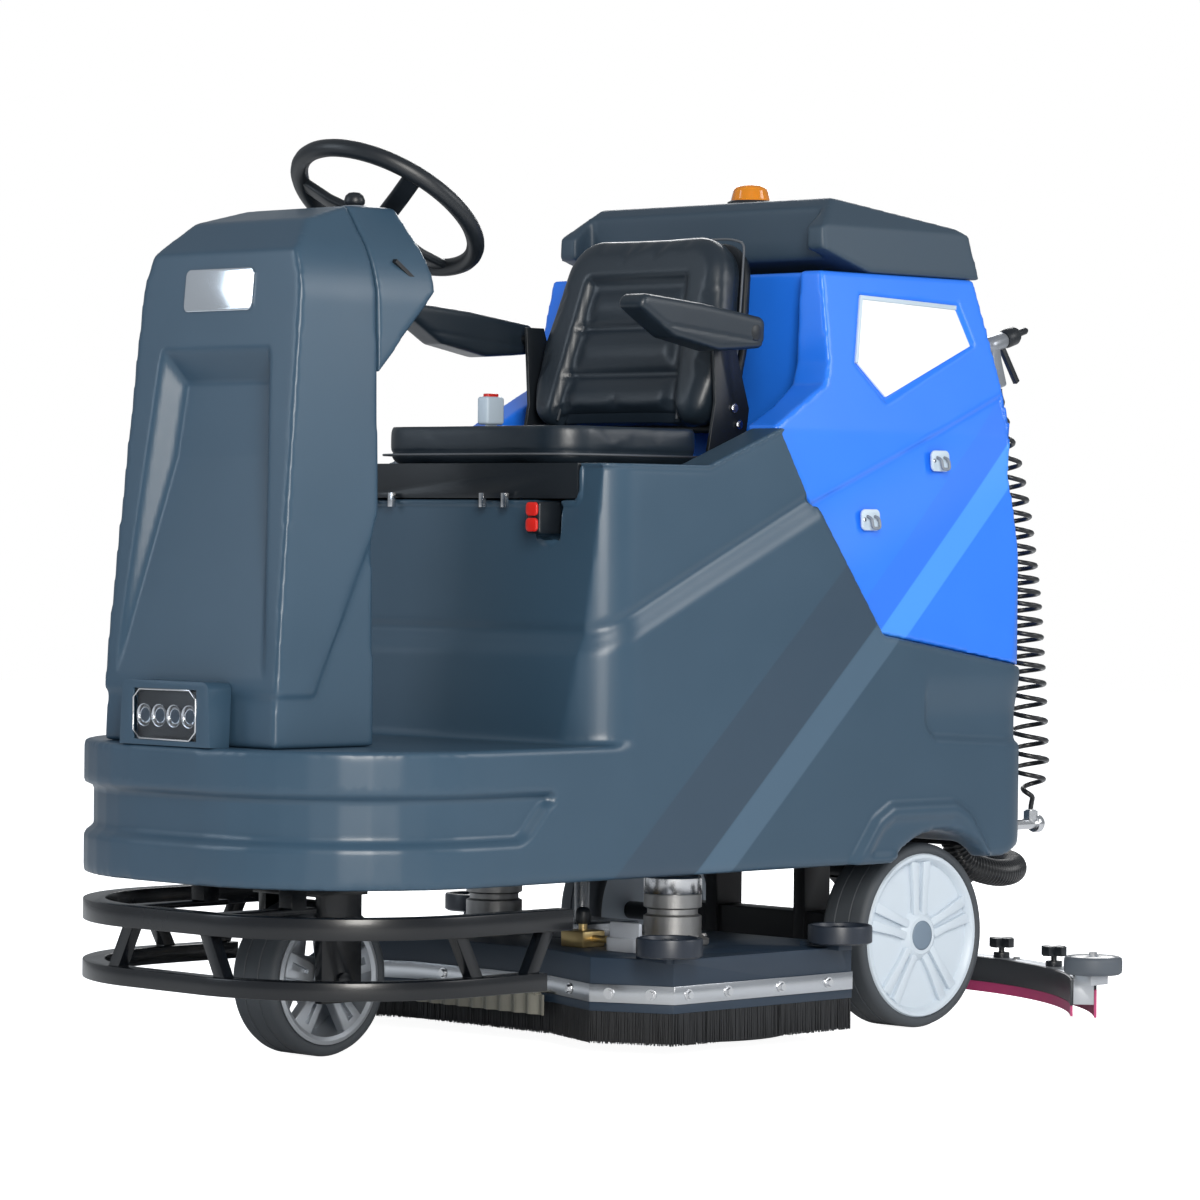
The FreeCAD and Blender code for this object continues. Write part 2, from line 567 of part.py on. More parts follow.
def spoked_wheel(name, axle, span, rim_r, shaft_r, spokes):
    """Rim barrel, hub and spokes about the X axis."""
    middle = "(%s + %s) / 2" % span
    barrel = ring(name + "Barrel", "x", axle, span, rim_r, "%s - 12" % rim_r)
    hub = cylinder(name + "Hub", "x", axle, span, "%s + 22" % shaft_r)
    arms = []
    for number in range(spokes):
        arm = doc.addObject("Part::Box", "%sSpoke%d" % (name, number))
        arm.setExpression("Length", tied("20"))
        arm.setExpression("Width", tied("22"))
        arm.setExpression("Height", tied("%s - 6" % rim_r))
        turn = FreeCAD.Rotation(FreeCAD.Vector(1, 0, 0), 360.0 * number / spokes)
        offset = turn.multVec(FreeCAD.Vector(0, -11, 0))
        arm.Placement = FreeCAD.Placement(offset, turn)
        set_place(arm, x="%s - 10" % middle, y="%s + (%f)" % (axle[0], offset.y),
                  z="%s + (%f)" % (axle[1], offset.z))
        arms.append(arm)
    bore = cylinder(name + "Bore", "x", axle, ("%s - 5" % span[0], "%s + 5" % span[1]),
                    "%s + slip" % shaft_r)
    return cut(name, joined(name + "Stock", barrel, hub, *arms), bore)


def front_wheel():
    axle = ("front_axle_y", "front_wheel_r")
    half = "front_wheel_wide / 2"
    part("front_rim", spoked_wheel("FrontRim", axle, ("-" + half, half), "front_rim_r", "front_shaft_r", 5))
    part("front_tyre", ring("FrontTyre", "x", axle, ("-" + half, half), "front_wheel_r", "front_rim_r"))


def rear_wheels():
    axle = ("rear_axle_y", "rear_wheel_r")
    inner = "rear_wheel_face - rear_wheel_wide"
    for side, span in (("left", (inner, "rear_wheel_face")),
                       ("right", ("-rear_wheel_face", "-(%s)" % inner))):
        label = side.capitalize()
        part("rear_rim_" + side, spoked_wheel("RearRim" + label, axle, span, "rear_rim_r",
                                              "rear_shaft_r", 8))
        part("rear_tyre_" + side, ring("RearTyre" + label, "x", axle, span, "rear_wheel_r", "rear_rim_r"))


# ---------------------------------------------------------------- recovery tank and lid
def tank_side(inset):
    low = "seam_gap + %s" % inset
    return [("crest_y + %s" % low, "crest_z + %s" % inset), ("160 + %s" % inset, "1040"),
            ("tank_front + %s" % inset, "1075"), ("tank_front + 6 + %s" % inset, "tank_top"),
            ("tank_rear_top - %s" % inset, "tank_top"), ("tank_rear_mid - 12 - %s" % inset, "1060"),
            ("tank_rear_mid - %s" % inset, "976"), ("tank_rear_mid - 10 - %s" % inset, "900"),
            ("body_rear - %s" % inset, "joint_rear_z + %s" % low),
            ("knee_y + %s" % low, "knee_z + %s" % low), ("notch_y + %s" % low, "notch_z + %s / 2" % low)]


def tank_mould(name, inset, top):
    side = tank_side(inset)
    side[3] = (side[3][0], top)
    side[4] = (side[4][0], top)
    across = prism(name + "Side", "YZ", side, both_sides("tank_half_low"))
    face = prism(name + "Face", "XZ",
                 [("-tank_half_low + %s" % inset, "joint_rear_z"),
                  ("-tank_half_mid + %s" % inset, "crest_z"),
                  ("-tank_half_top + %s" % inset, "tank_top + 10"),
                  ("tank_half_top - %s" % inset, "tank_top + 10"),
                  ("tank_half_mid - %s" % inset, "crest_z"),
                  ("tank_half_low - %s" % inset, "joint_rear_z")], ("crest_y", "body_rear"))
    plan = prism(name + "Plan", "XY",
                 [("-tank_half_low + %s" % inset, "crest_y"), ("tank_half_low - %s" % inset, "crest_y"),
                  ("tank_half_low - %s" % inset, "body_rear - %s" % inset),
                  ("-tank_half_low + %s" % inset, "body_rear - %s" % inset)],
                 ("joint_rear_z", "tank_top + 10"), [((2, 3), "rear_round - %s" % inset)])
    bay = box(name + "SeatBay", both_sides("plate_half + plate_gap + %s" % inset),
              ("crest_y - 20", "bay_back + %s" % inset), ("joint_rear_z", "1075 + %s" % inset))
    return cut(name, shared(name + "Block", across, face, plan), bay)


def recovery_tank():
    outer = tank_mould("TankOuter", "0", "tank_top")
    inner = tank_mould("TankInner", "tank_wall", "tank_top + 5")
    outlet = ring("TankOutlet", "z", ("outlet_x", "outlet_y"), ("outlet_low", "joint_rear_z + 20"),
                  "vac_hose_r - 2", "vac_hose_r - 6")
    hinges = []
    for side, sign in (("Left", ""), ("Right", "-")):
        middle = sign + "lid_hinge_x"
        hinges.append(cylinder("LidPin" + side, "x", ("lid_hinge_y", "lid_hinge_z"), between(middle, "30"),
                               "lid_pin_r"))
        for way in ("-", "+"):
            ear = between("%s %s 25.3" % (middle, way), "5")
            hinges.append(cylinder("LidEar%s%s" % (side, way), "x", ("lid_hinge_y", "lid_hinge_z"), ear,
                                   "lid_knuckle_r"))
            hinges.append(box("LidEarFoot%s%s" % (side, way), ear,
                              ("lid_hinge_y - 7", "lid_hinge_y + lid_knuckle_r"),
                              ("lid_hinge_z - 24", "lid_hinge_z - 2")))
            hinges.append(box("LidEarRoot%s%s" % (side, way), ear, ("tank_rear_top", "lid_hinge_y"),
                              ("lid_hinge_z - 24", "lid_hinge_z - 8")))
    part("recovery_tank", joined("RecoveryTank", cut("TankShell", outer, inner), outlet, *hinges))
    part("vacuum_motor", joined("VacuumMotor",
         cylinder("MotorCan", "z", ("-170", "420"), ("knee_z - 4", "knee_z + 130"), "70"),
         cylinder("MotorFan", "z", ("-170", "420"), ("knee_z + 130", "knee_z + 170"), "82")))


def lid_side(inset):
    return [("lid_front + %s" % inset, "1256"), ("lid_front + %s" % inset, "1290"),
            ("lid_front + 62 + %s" % inset, "lid_high - %s" % inset),
            ("lid_rear - 42 - %s" % inset, "lid_rear_high - %s" % inset),
            ("lid_rear - 16 - %s" % inset, "lid_rear_high - 14 - %s" % inset),
            ("lid_rear - %s" % inset, "tank_top + rest_gap"), ("300", "tank_top + rest_gap")]


def tank_lid():
    def mould(name, inset):
        across = prism(name + "Side", "YZ", lid_side(inset), both_sides("lid_half - %s" % inset))
        face = prism(name + "Face", "XZ",
                     [("-lid_half + %s" % inset, "tank_top"),
                      ("-lid_half + 8 + %s" % inset, "1300 - %s" % inset),
                      ("-lid_half + 44 + %s" % inset, "lid_high + 2 - %s" % inset),
                      ("lid_half - 44 - %s" % inset, "lid_high + 2 - %s" % inset),
                      ("lid_half - 8 - %s" % inset, "1300 - %s" % inset),
                      ("lid_half - %s" % inset, "tank_top")],
                     ("lid_front", "lid_rear"))
        return shared(name, across, face)
    outer = mould("LidOuter", "0")
    inner = mould("LidInner", "lid_wall")
    boss = cylinder("BeaconBoss", "z", ("0", "beacon_y"), ("lid_high - 24", "lid_high + 4"), "beacon_r + 5")
    knuckles = []
    bores = []
    for side, sign in (("Left", ""), ("Right", "-")):
        middle = sign + "lid_hinge_x"
        knuckles.append(cylinder("LidKnuckle" + side, "x", ("lid_hinge_y", "lid_hinge_z"),
                                 between(middle, "20"),
                                 "lid_knuckle_r"))
        knuckles.append(box("LidStrap" + side, between(middle, "20"), ("lid_rear - 4", "lid_hinge_y"),
                            ("lid_hinge_z", "lid_hinge_z + lid_knuckle_r")))
        bores.append(cylinder("LidBore" + side, "x", ("lid_hinge_y", "lid_hinge_z"), between(middle, "25"),
                              "lid_pin_r + slip"))
    part("tank_lid", cut("TankLid", joined("LidStock", cut("LidShell", outer, inner), boss, *knuckles),
                         *bores))
    part("beacon_lens", cylinder("BeaconLens", "z", ("0", "beacon_y"), ("lid_high + 4", "lid_high + 36"),
                                 "beacon_r"))


# ---------------------------------------------------------------- seat
def seat():
    tray = box("PlateOuter", both_sides("plate_half"), ("seat_wall_top_y + 3", "plate_back"),
               ("plate_low", "box_top"))
    hollow = box("PlateInner", both_sides("plate_half - 4"), ("seat_wall_top_y + 7", "plate_back - 4"),
                 ("plate_low - 5", "box_top - 4"))
    leaves = [box("HingeLeaf%d" % number, between(x, "18"), ("seat_wall_top_y - 13", "seat_wall_top_y + 4"),
                  ("plate_low", "plate_low + 8")) for number, x in enumerate(("-128", "128"))]
    bores = [cylinder("HingeBore%d" % number, "x", ("seat_wall_top_y - 9", "plate_low + 4"),
                      between(x, "25"), "2.5 + slip") for number, x in enumerate(("-128", "128"))]
    part("seat_plate", cut("SeatPlate", joined("PlateStock", cut("PlateShell", tray, hollow), *leaves),
                           *bores))
    cushion = prism("SeatCushion", "XY",
                    [("-cushion_half", "cushion_front"), ("cushion_half", "cushion_front"),
                     ("cushion_half", "cushion_back"), ("-cushion_half", "cushion_back")],
                    ("box_top + rest_gap", "cushion_high"), [((0, 1), "60"), ((2, 3), "30")])
    part("seat_cushion", cushion)
    side = prism("BackSide", "YZ", [("36", "cushion_high + 4"), ("22", "1004"), ("96", "1282"),
                                    ("112", "1292"),
                                    ("160", "1282"), ("176", "1262"), ("112", "cushion_high + 4")],
                 both_sides("back_half"))
    face = prism("BackFace", "XZ", [("-back_half", "cushion_high"), ("-back_half", "1090"),
                                    ("-172", "1296"),
                                    ("172", "1296"), ("back_half", "1090"), ("back_half", "cushion_high")],
                 ("10", "190"), [((2, 3), "55")])
    part("seat_back", shared("SeatBack", side, face))
    brackets = []
    for label, sign in (("Left", ""), ("Right", "-")):
        low = sign + "(back_half + rest_gap)"
        high = sign + "(back_half + rest_gap + bracket_thick)"
        span = (low, high) if not sign else (high, low)
        plate = prism("Bracket" + label, "YZ",
                      [("cushion_back + 4", "box_top"), ("plate_back - 4", "box_top"), ("128", "1000"),
                       ("arm_pivot_y + 20", "arm_pivot_z + 18"), ("arm_pivot_y - 20", "arm_pivot_z + 18"),
                       ("50", "1010"), ("cushion_back + 4", "box_top + 14")], span)
        pin_far = sign + "(arm_out - 8)"
        pin_span = (low, pin_far) if not sign else (pin_far, low)
        pin = cylinder("ArmPin" + label, "x", ("arm_pivot_y", "arm_pivot_z"), pin_span, "8")
        brackets.append(joined("SeatBracket" + label, plate, pin))
    part("seat_brackets", group("SeatBrackets", *brackets))
    for label, sign in (("left", ""), ("right", "-")):
        span = (sign + "arm_in", sign + "arm_out")
        if sign:
            span = (span[1], span[0])
        pod = prism("Arm" + label, "YZ",
                    [("-200", "1152"), ("-186", "1172"), ("-60", "1160"),
                     ("arm_pivot_y + 26", "arm_pivot_z + 22"),
                     ("arm_pivot_y + 22", "arm_pivot_z - 24"), ("-20", "1086"), ("-130", "1104")],
                    span, [((1,), "10"), ((3, 4, 5), "16")])
        bore_span = ("%s - 5" % span[0], "arm_out - 7") if not sign else ("-(arm_out - 7)",
                                                                          "%s + 5" % span[1])
        part("armrest_" + label, cut("Armrest" + label.capitalize(), pod,
             cylinder("ArmBore" + label, "x", ("arm_pivot_y", "arm_pivot_z"), bore_span, "8 + slip")))


def hinge_brackets(pedal_bracket):
    """Steel hinge brackets bolted to the lower body: two for the seat plate, one for the pedal."""
    pieces = [pedal_bracket]
    for number, x in enumerate(("-128", "128")):
        pin = cylinder("SeatPin%d" % number, "x", ("seat_wall_top_y - 9", "plate_low + 4"),
                       between(x, "30"), "2.5")
        knuckles = [box("Knuckle%d%s" % (number, way), ("%s %s 24.5 - 5" % (x, way),
                                                        "%s %s 24.5 + 5" % (x, way)),
                        ("seat_wall_top_y - 13", "seat_wall_top_y - 5.2"),
                        ("plate_low - 14", "plate_low + 8"))
                    for way in ("-", "+")]
        pieces.append(joined("SeatHinge%d" % number, pin, *knuckles))
    part("hinge_brackets", group("HingeBrackets", *pieces))


def belt_buckle():
    stalk = box("BuckleStalk", ("-243", "-237"), ("-18", "4"), ("box_top", "975"))
    head = box("BuckleHead", ("-253", "-227"), ("-28", "12"), ("975", "1022"))
    slot = box("BuckleSlot", ("-247", "-233"), ("-20", "4"), ("1008", "1030"))
    part("belt_buckle", cut("BeltBuckle", joined("BuckleStock", stalk, head), slot))
    part("buckle_button", box("BuckleButton", ("-246.7", "-233.3"), ("-19.7", "3.7"), ("1011", "1026")))


# ---------------------------------------------------------------- brush deck
def deck_plan(grow):
    """Deck outline, moved out by grow on every side."""
    right = [("deck_half + %s" % grow, "deck_y - 206"), ("deck_half + %s" % grow, "deck_y + 200"),
             ("300 + %s / 2" % grow, "deck_y + 234 + %s" % grow)]
    left = [("-(%s)" % x, y) for x, y in reversed(right)]
    front = [("-283 - %s / 2" % grow, "deck_y - 264 - %s" % grow), ("-155", "deck_y - 217 - %s" % grow),
             ("155", "deck_y - 217 - %s" % grow), ("283 + %s / 2" % grow, "deck_y - 264 - %s" % grow)]
    return right + left + front


def deck_ring(name, outside, inside, span):
    return cut(name, prism(name + "Out", "XY", deck_plan(outside), span),
               prism(name + "In", "XY", deck_plan(inside), ("%s - 1" % span[0], "%s + 1" % span[1])))


def brush_deck():
    block = prism("DeckBlock", "XY", deck_plan("0"), ("deck_low", "deck_high"))
    hollow = prism("DeckHollow", "XY", deck_plan("-deck_wall"), ("deck_low - 5", "deck_high - 8"))
    arms = [box("RollerArm%d" % number, span, between(y, "16"), ("deck_high - 3", "roller_low - rest_gap"))
            for number, (span, y) in enumerate(
                ((("deck_half - 60", "roller_x + 12"), "roller_front_y + 16"),
                 (("deck_half - 60", "roller_x + 12"), "roller_rear_y"),
                 (("-roller_x - 12", "-deck_half + 60"), "roller_front_y + 16"),
                 (("-roller_x - 12", "-deck_half + 60"), "roller_rear_y")))]
    pins = [cylinder("RollerPin%d" % number, "z", (x, y), ("deck_high - 3", "roller_high - 8"),
                     "roller_pin_r")
            for number, (x, y) in enumerate((("roller_x", "roller_front_y"), ("roller_x", "roller_rear_y"),
                                             ("-roller_x", "roller_front_y"),
                                             ("-roller_x", "roller_rear_y")))]
    holes = [cylinder("DriveHole%d" % number, "z", (x, "deck_y"), ("deck_high - 20", "deck_high + 20"),
                      "drive_pin_r + 1") for number, x in enumerate(("brush_x", "-brush_x"))]
    part("deck_housing", cut("DeckHousing", joined("DeckStock", cut("DeckShell", block, hollow), *arms,
                                                   *pins),
                             *holes))
    part("deck_band", deck_ring("DeckBand", "band_thick", "0", ("band_low", "band_high")))
    bristles = deck_ring("BristleSkirt", "0", "-deck_wall", ("skirt_low", "deck_low"))
    strip = box("SplashStrip", both_sides("150"), ("deck_y - 240", "deck_y - 217 - rest_gap"), ("48", "80"))
    tab = box("SplashStripTab", between("120", "10"), ("deck_y - 232", "deck_y - 217"), ("80", "band_low"))
    part("deck_skirt", group("DeckSkirt", bristles, joined("SplashStripTabbed", strip, tab)))
    motors = [ring("BrushMotor%d" % number, "z", (x, "deck_y"), ("deck_high", "motor_high"), "motor_r",
                   "drive_pin_r + slip") for number, x in enumerate(("brush_x", "-brush_x"))]
    part("brush_motors", group("BrushMotors", *motors))
    rod = cylinder("LiftRodBar", "z", ("0", "deck_y"), ("deck_high", "440"), "lift_rod_r")
    foot = box("LiftFoot", both_sides("70"), between("deck_y", "60"), ("deck_high", "deck_high + 26"))
    part("lift_rod", joined("LiftRod", rod, foot))
    valve = box("ValveBlock", ("118", "168"), ("-190", "-140"), ("deck_high", "deck_high + 34"))
    stem = cylinder("ValveKnob", "z", ("143", "-165"), ("deck_high + 34", "deck_high + 62"), "11")
    bracket = box("CastBracket", ("216", "300"), ("-200", "-120"), ("deck_high", "deck_high + 22"))
    part("deck_fittings", group("DeckFittings", joined("WaterValve", valve, stem), bracket))


def brushes():
    for side, x in (("left", "brush_x"), ("right", "-brush_x")):
        label = side.capitalize()
        block = cylinder("BrushBlock" + label, "z", (x, "deck_y"), ("62", "78"), "brush_r - 6")
        hub = cylinder("BrushHub" + label, "z", (x, "deck_y"), ("78", "deck_high - 12"), "34")
        pin = cylinder("BrushPin" + label, "z", (x, "deck_y"), ("deck_high - 12", "deck_high + 60"),
                       "drive_pin_r")
        bristles = ring("BrushBristles" + label, "z", (x, "deck_y"), ("bristle_low", "62"), "brush_r", "70")
        part(side + "_brush", joined("Brush" + label, block, hub, pin, bristles))


def deck_rollers():
    for end, y in (("front", "roller_front_y"), ("rear", "roller_rear_y")):
        for side, x in (("left", "roller_x"), ("right", "-roller_x")):
            label = end.capitalize() + side.capitalize()
            wheel = cylinder("Roller" + label, "z", (x, y), ("roller_low", "roller_high"), "roller_r")
            dish = cylinder("RollerDish" + label, "z", (x, y), ("roller_high - 8", "roller_high + 5"),
                            "roller_r - 9")
            bore = cylinder("RollerBore" + label, "z", (x, y), ("roller_low - 5", "roller_high"),
                            "roller_pin_r + slip")
            part("roller_%s_%s" % (end, side), cut("DeckRoller" + label, wheel, dish, bore))


# ---------------------------------------------------------------- squeegee
def arc_bar(name, outer, inner, span, half_sweep):
    """A bar bent about the squeegee's arc centre."""
    pieces = []
    for label, radius in (("Outer", outer), ("Inner", inner)):
        wedge = doc.addObject("Part::Cylinder", name + label)
        wedge.setExpression("Radius", tied(radius))
        wedge.setExpression("Height", tied("(%s) - (%s)" % (span[1], span[0])))
        wedge.setExpression("Angle", tied("2 * (%s)" % half_sweep))
        wedge.Placement = FreeCAD.Placement(FreeCAD.Vector(), FreeCAD.Rotation(
            FreeCAD.Vector(0, 0, 1), 90 - SIZES["bar_sweep"]))
        set_place(wedge, y="tail_y - bar_r", z=span[0])
        pieces.append(wedge)
    return cut(name, *pieces)


def on_arc(angle, radius):
    """X and Y formulas of a point on the squeegee's arc; the angle is from straight back."""
    turn = math.radians(angle)
    return ("%f * (%s)" % (math.sin(turn), radius), "tail_y - bar_r + %f * (%s)" % (math.cos(turn), radius))


KNOB_ANGLES = (-44, -28, -12, 12, 28, 44)


def squeegee():
    channel = arc_bar("Channel", "bar_r - 5 - rest_gap", "bar_r - bar_deep + 5 + rest_gap",
                      ("bar_low", "bar_high"), "bar_sweep")
    blades = [arc_bar("RearBlade", "bar_r", "bar_r - 5", ("blade_low", "bar_high - 12"), "bar_sweep"),
              arc_bar("FrontBlade", "bar_r - bar_deep + 5", "bar_r - bar_deep",
                      ("blade_low", "bar_high - 12"),
                      "bar_sweep")]
    part("squeegee_blades", group("SqueegeeBlades", *blades))
    plate = box("SwingPlate", both_sides("46"), ("swing_y - 24", "tail_y - bar_deep + 6"),
                ("bar_high - 6", "bar_high + 2"))
    pin = cylinder("SwingPin", "z", ("0", "swing_y"), ("bar_high - 4", "bar_high + 52"), "swing_pin_r")
    port = cylinder("SuctionPort", "z", ("0", "tail_y - bar_deep / 2"), ("bar_high - 4", "bar_high + 56"),
                    "vac_hose_r - 2")
    port_bore = cylinder("SuctionBore", "z", ("0", "tail_y - bar_deep / 2"),
                         ("bar_low - 5", "bar_high + 60"),
                         "vac_hose_r - 7")
    ends = []
    pins = []
    for side, sign in (("Left", ""), ("Right", "-")):
        spot = (sign + "side_wheel_x", "side_wheel_y")
        low = sign + "(side_wheel_x - 20)"
        high = sign + "(side_wheel_x + 14)"
        span = (low, high) if not sign else (high, low)
        ends.append(box("EndBlock" + side, span, between("side_wheel_y", "22"),
                        ("bar_high - 6", "side_wheel_low - rest_gap")))
        pins.append(cylinder("SideWheelPin" + side, "z", spot, ("bar_high - 6", "side_wheel_high + 3"),
                             "6"))
    part("squeegee_bar", cut("SqueegeeBar", joined("BarStock", channel, plate, pin, port, *ends, *pins),
                             port_bore))
    knobs = []
    for number, angle in enumerate(KNOB_ANGLES):
        spot = on_arc(angle, "bar_r - bar_deep / 2")
        stem = cylinder("KnobStem%d" % number, "z", spot, ("bar_high", "bar_high + 26"), "5")
        block = cylinder("KnobFoot%d" % number, "z", spot, ("bar_high", "bar_high + 9"), "14")
        cross = [box("KnobCross%d%s" % (number, way), between(spot[0], long), between(spot[1], deep),
                     ("bar_high + 18", "bar_high + 34"))
                 for way, long, deep in (("A", "22", "7"), ("B", "7", "22"))]
        knobs.append(joined("StarKnob%d" % number, stem, block, *cross))
    part("squeegee_knobs", group("SqueegeeKnobs", *knobs))
    for side, sign in (("left", ""), ("right", "-")):
        spot = (sign + "side_wheel_x", "side_wheel_y")
        part("side_wheel_" + side, ring("SideWheel" + side.capitalize(), "z", spot,
                                        ("side_wheel_low", "side_wheel_high"), "side_wheel_r", "6 + slip"))


def squeegee_arm():
    bar = prism("ArmBar", "YZ", [("arm_hinge_y - 14", "arm_hinge_z - 16"),
                                 ("arm_hinge_y + 16", "arm_hinge_z + 14"),
                                 ("swing_y - 10", "bar_high + 44"), ("swing_y + 18", "bar_high + 44"),
                                 ("swing_y + 18", "bar_high + 14"), ("swing_y - 30", "bar_high + 14")],
                both_sides("22"))
    tube = cylinder("ArmTube", "x", ("arm_hinge_y", "arm_hinge_z"), both_sides("rail_x - 24"), "18")
    boss = cylinder("SwingBoss", "z", ("0", "swing_y"), ("bar_high + 2 + rest_gap", "bar_high + 48"), "24")
    hinge_bore = cylinder("ArmHingeBore", "x", ("arm_hinge_y", "arm_hinge_z"), both_sides("rail_x"),
                          "arm_hinge_r + slip")
    swing_bore = cylinder("ArmSwingBore", "z", ("0", "swing_y"), ("bar_high - 5", "bar_high + 60"),
                          "swing_pin_r + slip")
    part("squeegee_arm", cut("SqueegeeArm", joined("ArmStock", bar, tube, boss), hinge_bore, swing_bore))


# ---------------------------------------------------------------- plates, latches
def name_plates():
    """Chrome plate on the column and the two pale panels on the tank's sides, all blank."""
    plate = box("NosePlate", both_sides("77"), ("0", "3"), ("0", "64"))
    lean = FreeCAD.Rotation(FreeCAD.Vector(1, 0, 0), -math.degrees(math.atan2(
        SIZES["column_front_top"] - SIZES["column_front_mid"], SIZES["face_top"] - 660)))
    plate.Placement = FreeCAD.Placement(FreeCAD.Vector(), lean)
    set_place(plate, x="-77", y="column_front_mid + (column_front_top - column_front_mid) * 0.84 - 3.2",
              z="1124")
    outline = [("258", "1096"), ("292", "1186"), ("498", "1180"), ("512", "1106"), ("318", "1022")]
    panels = [side_panel("Badge" + side, outline, side, "2") for side in ("Left", "Right")]
    part("name_plates", group("NamePlates", plate, *panels))


def side_lean():
    """How far the tank's side leans in, from its middle height up."""
    rise = SIZES["tank_top"] + 10 - SIZES["crest_z"]
    return math.degrees(math.atan2(SIZES["tank_half_mid"] - SIZES["tank_half_top"], rise))


def low_lean():
    rise = SIZES["crest_z"] - SIZES["joint_rear_z"]
    return math.degrees(math.atan2(SIZES["tank_half_low"] - SIZES["tank_half_mid"], rise))


def side_panel(name, outline, side, thick, lean=None):
    """A thin panel lying on the tank's leaning side. The outline is in Y and Z."""
    angle = side_lean() if lean is None else lean
    base_z = SIZES["crest_z"] if lean is None else SIZES["joint_rear_z"]
    base_x = "tank_half_mid" if lean is None else "tank_half_low"
    rise = 1 / math.cos(math.radians(angle))
    flat = prism(name + "Flat", "YZ", [(y, "(%s - %f) * %f" % (z, base_z, rise)) for y, z in outline],
                 ("0", thick))
    turn = FreeCAD.Rotation(FreeCAD.Vector(0, 1, 0), -angle)
    flat.Placement = FreeCAD.Placement(FreeCAD.Vector(0, 0, base_z), turn)
    set_place(flat, x=base_x)
    return flat if side == "Left" else mirrored(name + "Mirror", flat)


def tank_fittings():
    """Hook plates on both sides of the tank, the spray gun's clip and the hose's water tap."""
    pieces = []
    for number, (y, z) in enumerate(((436, 905), (352, 810))):
        outline = [("%d - 24" % y, "%d - 17" % z), ("%d + 24" % y, "%d - 17" % z),
                   ("%d + 24" % y, "%d + 17" % z), ("%d - 24" % y, "%d + 17" % z)]
        pieces += [side_panel("Latch%d%s" % (number, side), outline, side, "3", low_lean())
                   for side in ("Left", "Right")]
    clip = box("GunClip", between("gun_x", "15"), ("tank_rear_mid - 26", "gun_y + 1.5"),
               ("gun_z - 58", "gun_z - 48"))
    pieces.append(cut("GunClipTrimmed", clip, doc.getObject("TankOuter")))
    pipe = cylinder("TapPipe", "y", ("tap_x", "tap_z"), ("body_rear", "tap_y + 10"), "9")
    riser = cylinder("TapRiser", "z", ("tap_x", "tap_y"), ("tap_z", "tap_z + 24"), "9")
    pieces.append(cut("WaterTap", joined("TapStock", pipe, riser), doc.getObject("BodyOutside")))
    part("tank_fittings", group("TankFittings", *pieces))


def spray_gun():
    """Gun hangs nose up behind the tank; the trigger is its own piece."""
    tilt = FreeCAD.Rotation(FreeCAD.Vector(1, 0, 0), 17)

    def place(piece, x, y, z, turn=FreeCAD.Rotation()):
        spot = FreeCAD.Vector(SIZES["gun_x"], SIZES["gun_y"], SIZES["gun_z"]) + tilt.multVec(
            FreeCAD.Vector(x, y, z))
        piece.Placement = FreeCAD.Placement(spot, tilt.multiply(turn))
        return piece

    def barrel(name, radius, low, high):
        piece = doc.addObject("Part::Cylinder", name)
        piece.Radius = radius
        piece.Height = high - low
        return place(piece, 0, low, 0, TURNS["y"])

    grip = doc.addObject("Part::Box", "GunGrip")
    grip.Length, grip.Width, grip.Height = 22, 24, 74
    place(grip, -11, -12, -74)
    body = joined("GunBody", barrel("GunBarrel", 13, -14, 34), barrel("GunCollar", 15, 34, 66),
                  barrel("GunNozzle", 6, 66, 96), grip)
    slot = doc.addObject("Part::Box", "GunSlot")
    slot.Length, slot.Width, slot.Height = 8.6, 26, 26
    place(slot, -4.3, 12.5, -22)
    pin = doc.addObject("Part::Cylinder", "TriggerPin")
    pin.Radius = SIZES["trigger_pin_r"]
    pin.Height = 16
    place(pin, -8, 24, -7, TURNS["x"])
    part("spray_gun", joined("SprayGun", cut("GunSlotted", body, slot), pin))
    swing = FreeCAD.Rotation(FreeCAD.Vector(1, 0, 0), 18)
    lever = doc.addObject("Part::Box", "TriggerLever")
    lever.Length, lever.Width, lever.Height = 8, 9, 78
    corner = FreeCAD.Vector(0, 24, -7) + swing.multVec(FreeCAD.Vector(-4, -4.5, -74))
    place(lever, corner.x, corner.y, corner.z, swing)
    bore = doc.addObject("Part::Cylinder", "TriggerBore")
    bore.Radius = SIZES["trigger_pin_r"] + SIZES["slip"]
    bore.Height = 20
    place(bore, -10, 24, -7, TURNS["x"])
    part("gun_trigger", cut("GunTrigger", lever, bore))


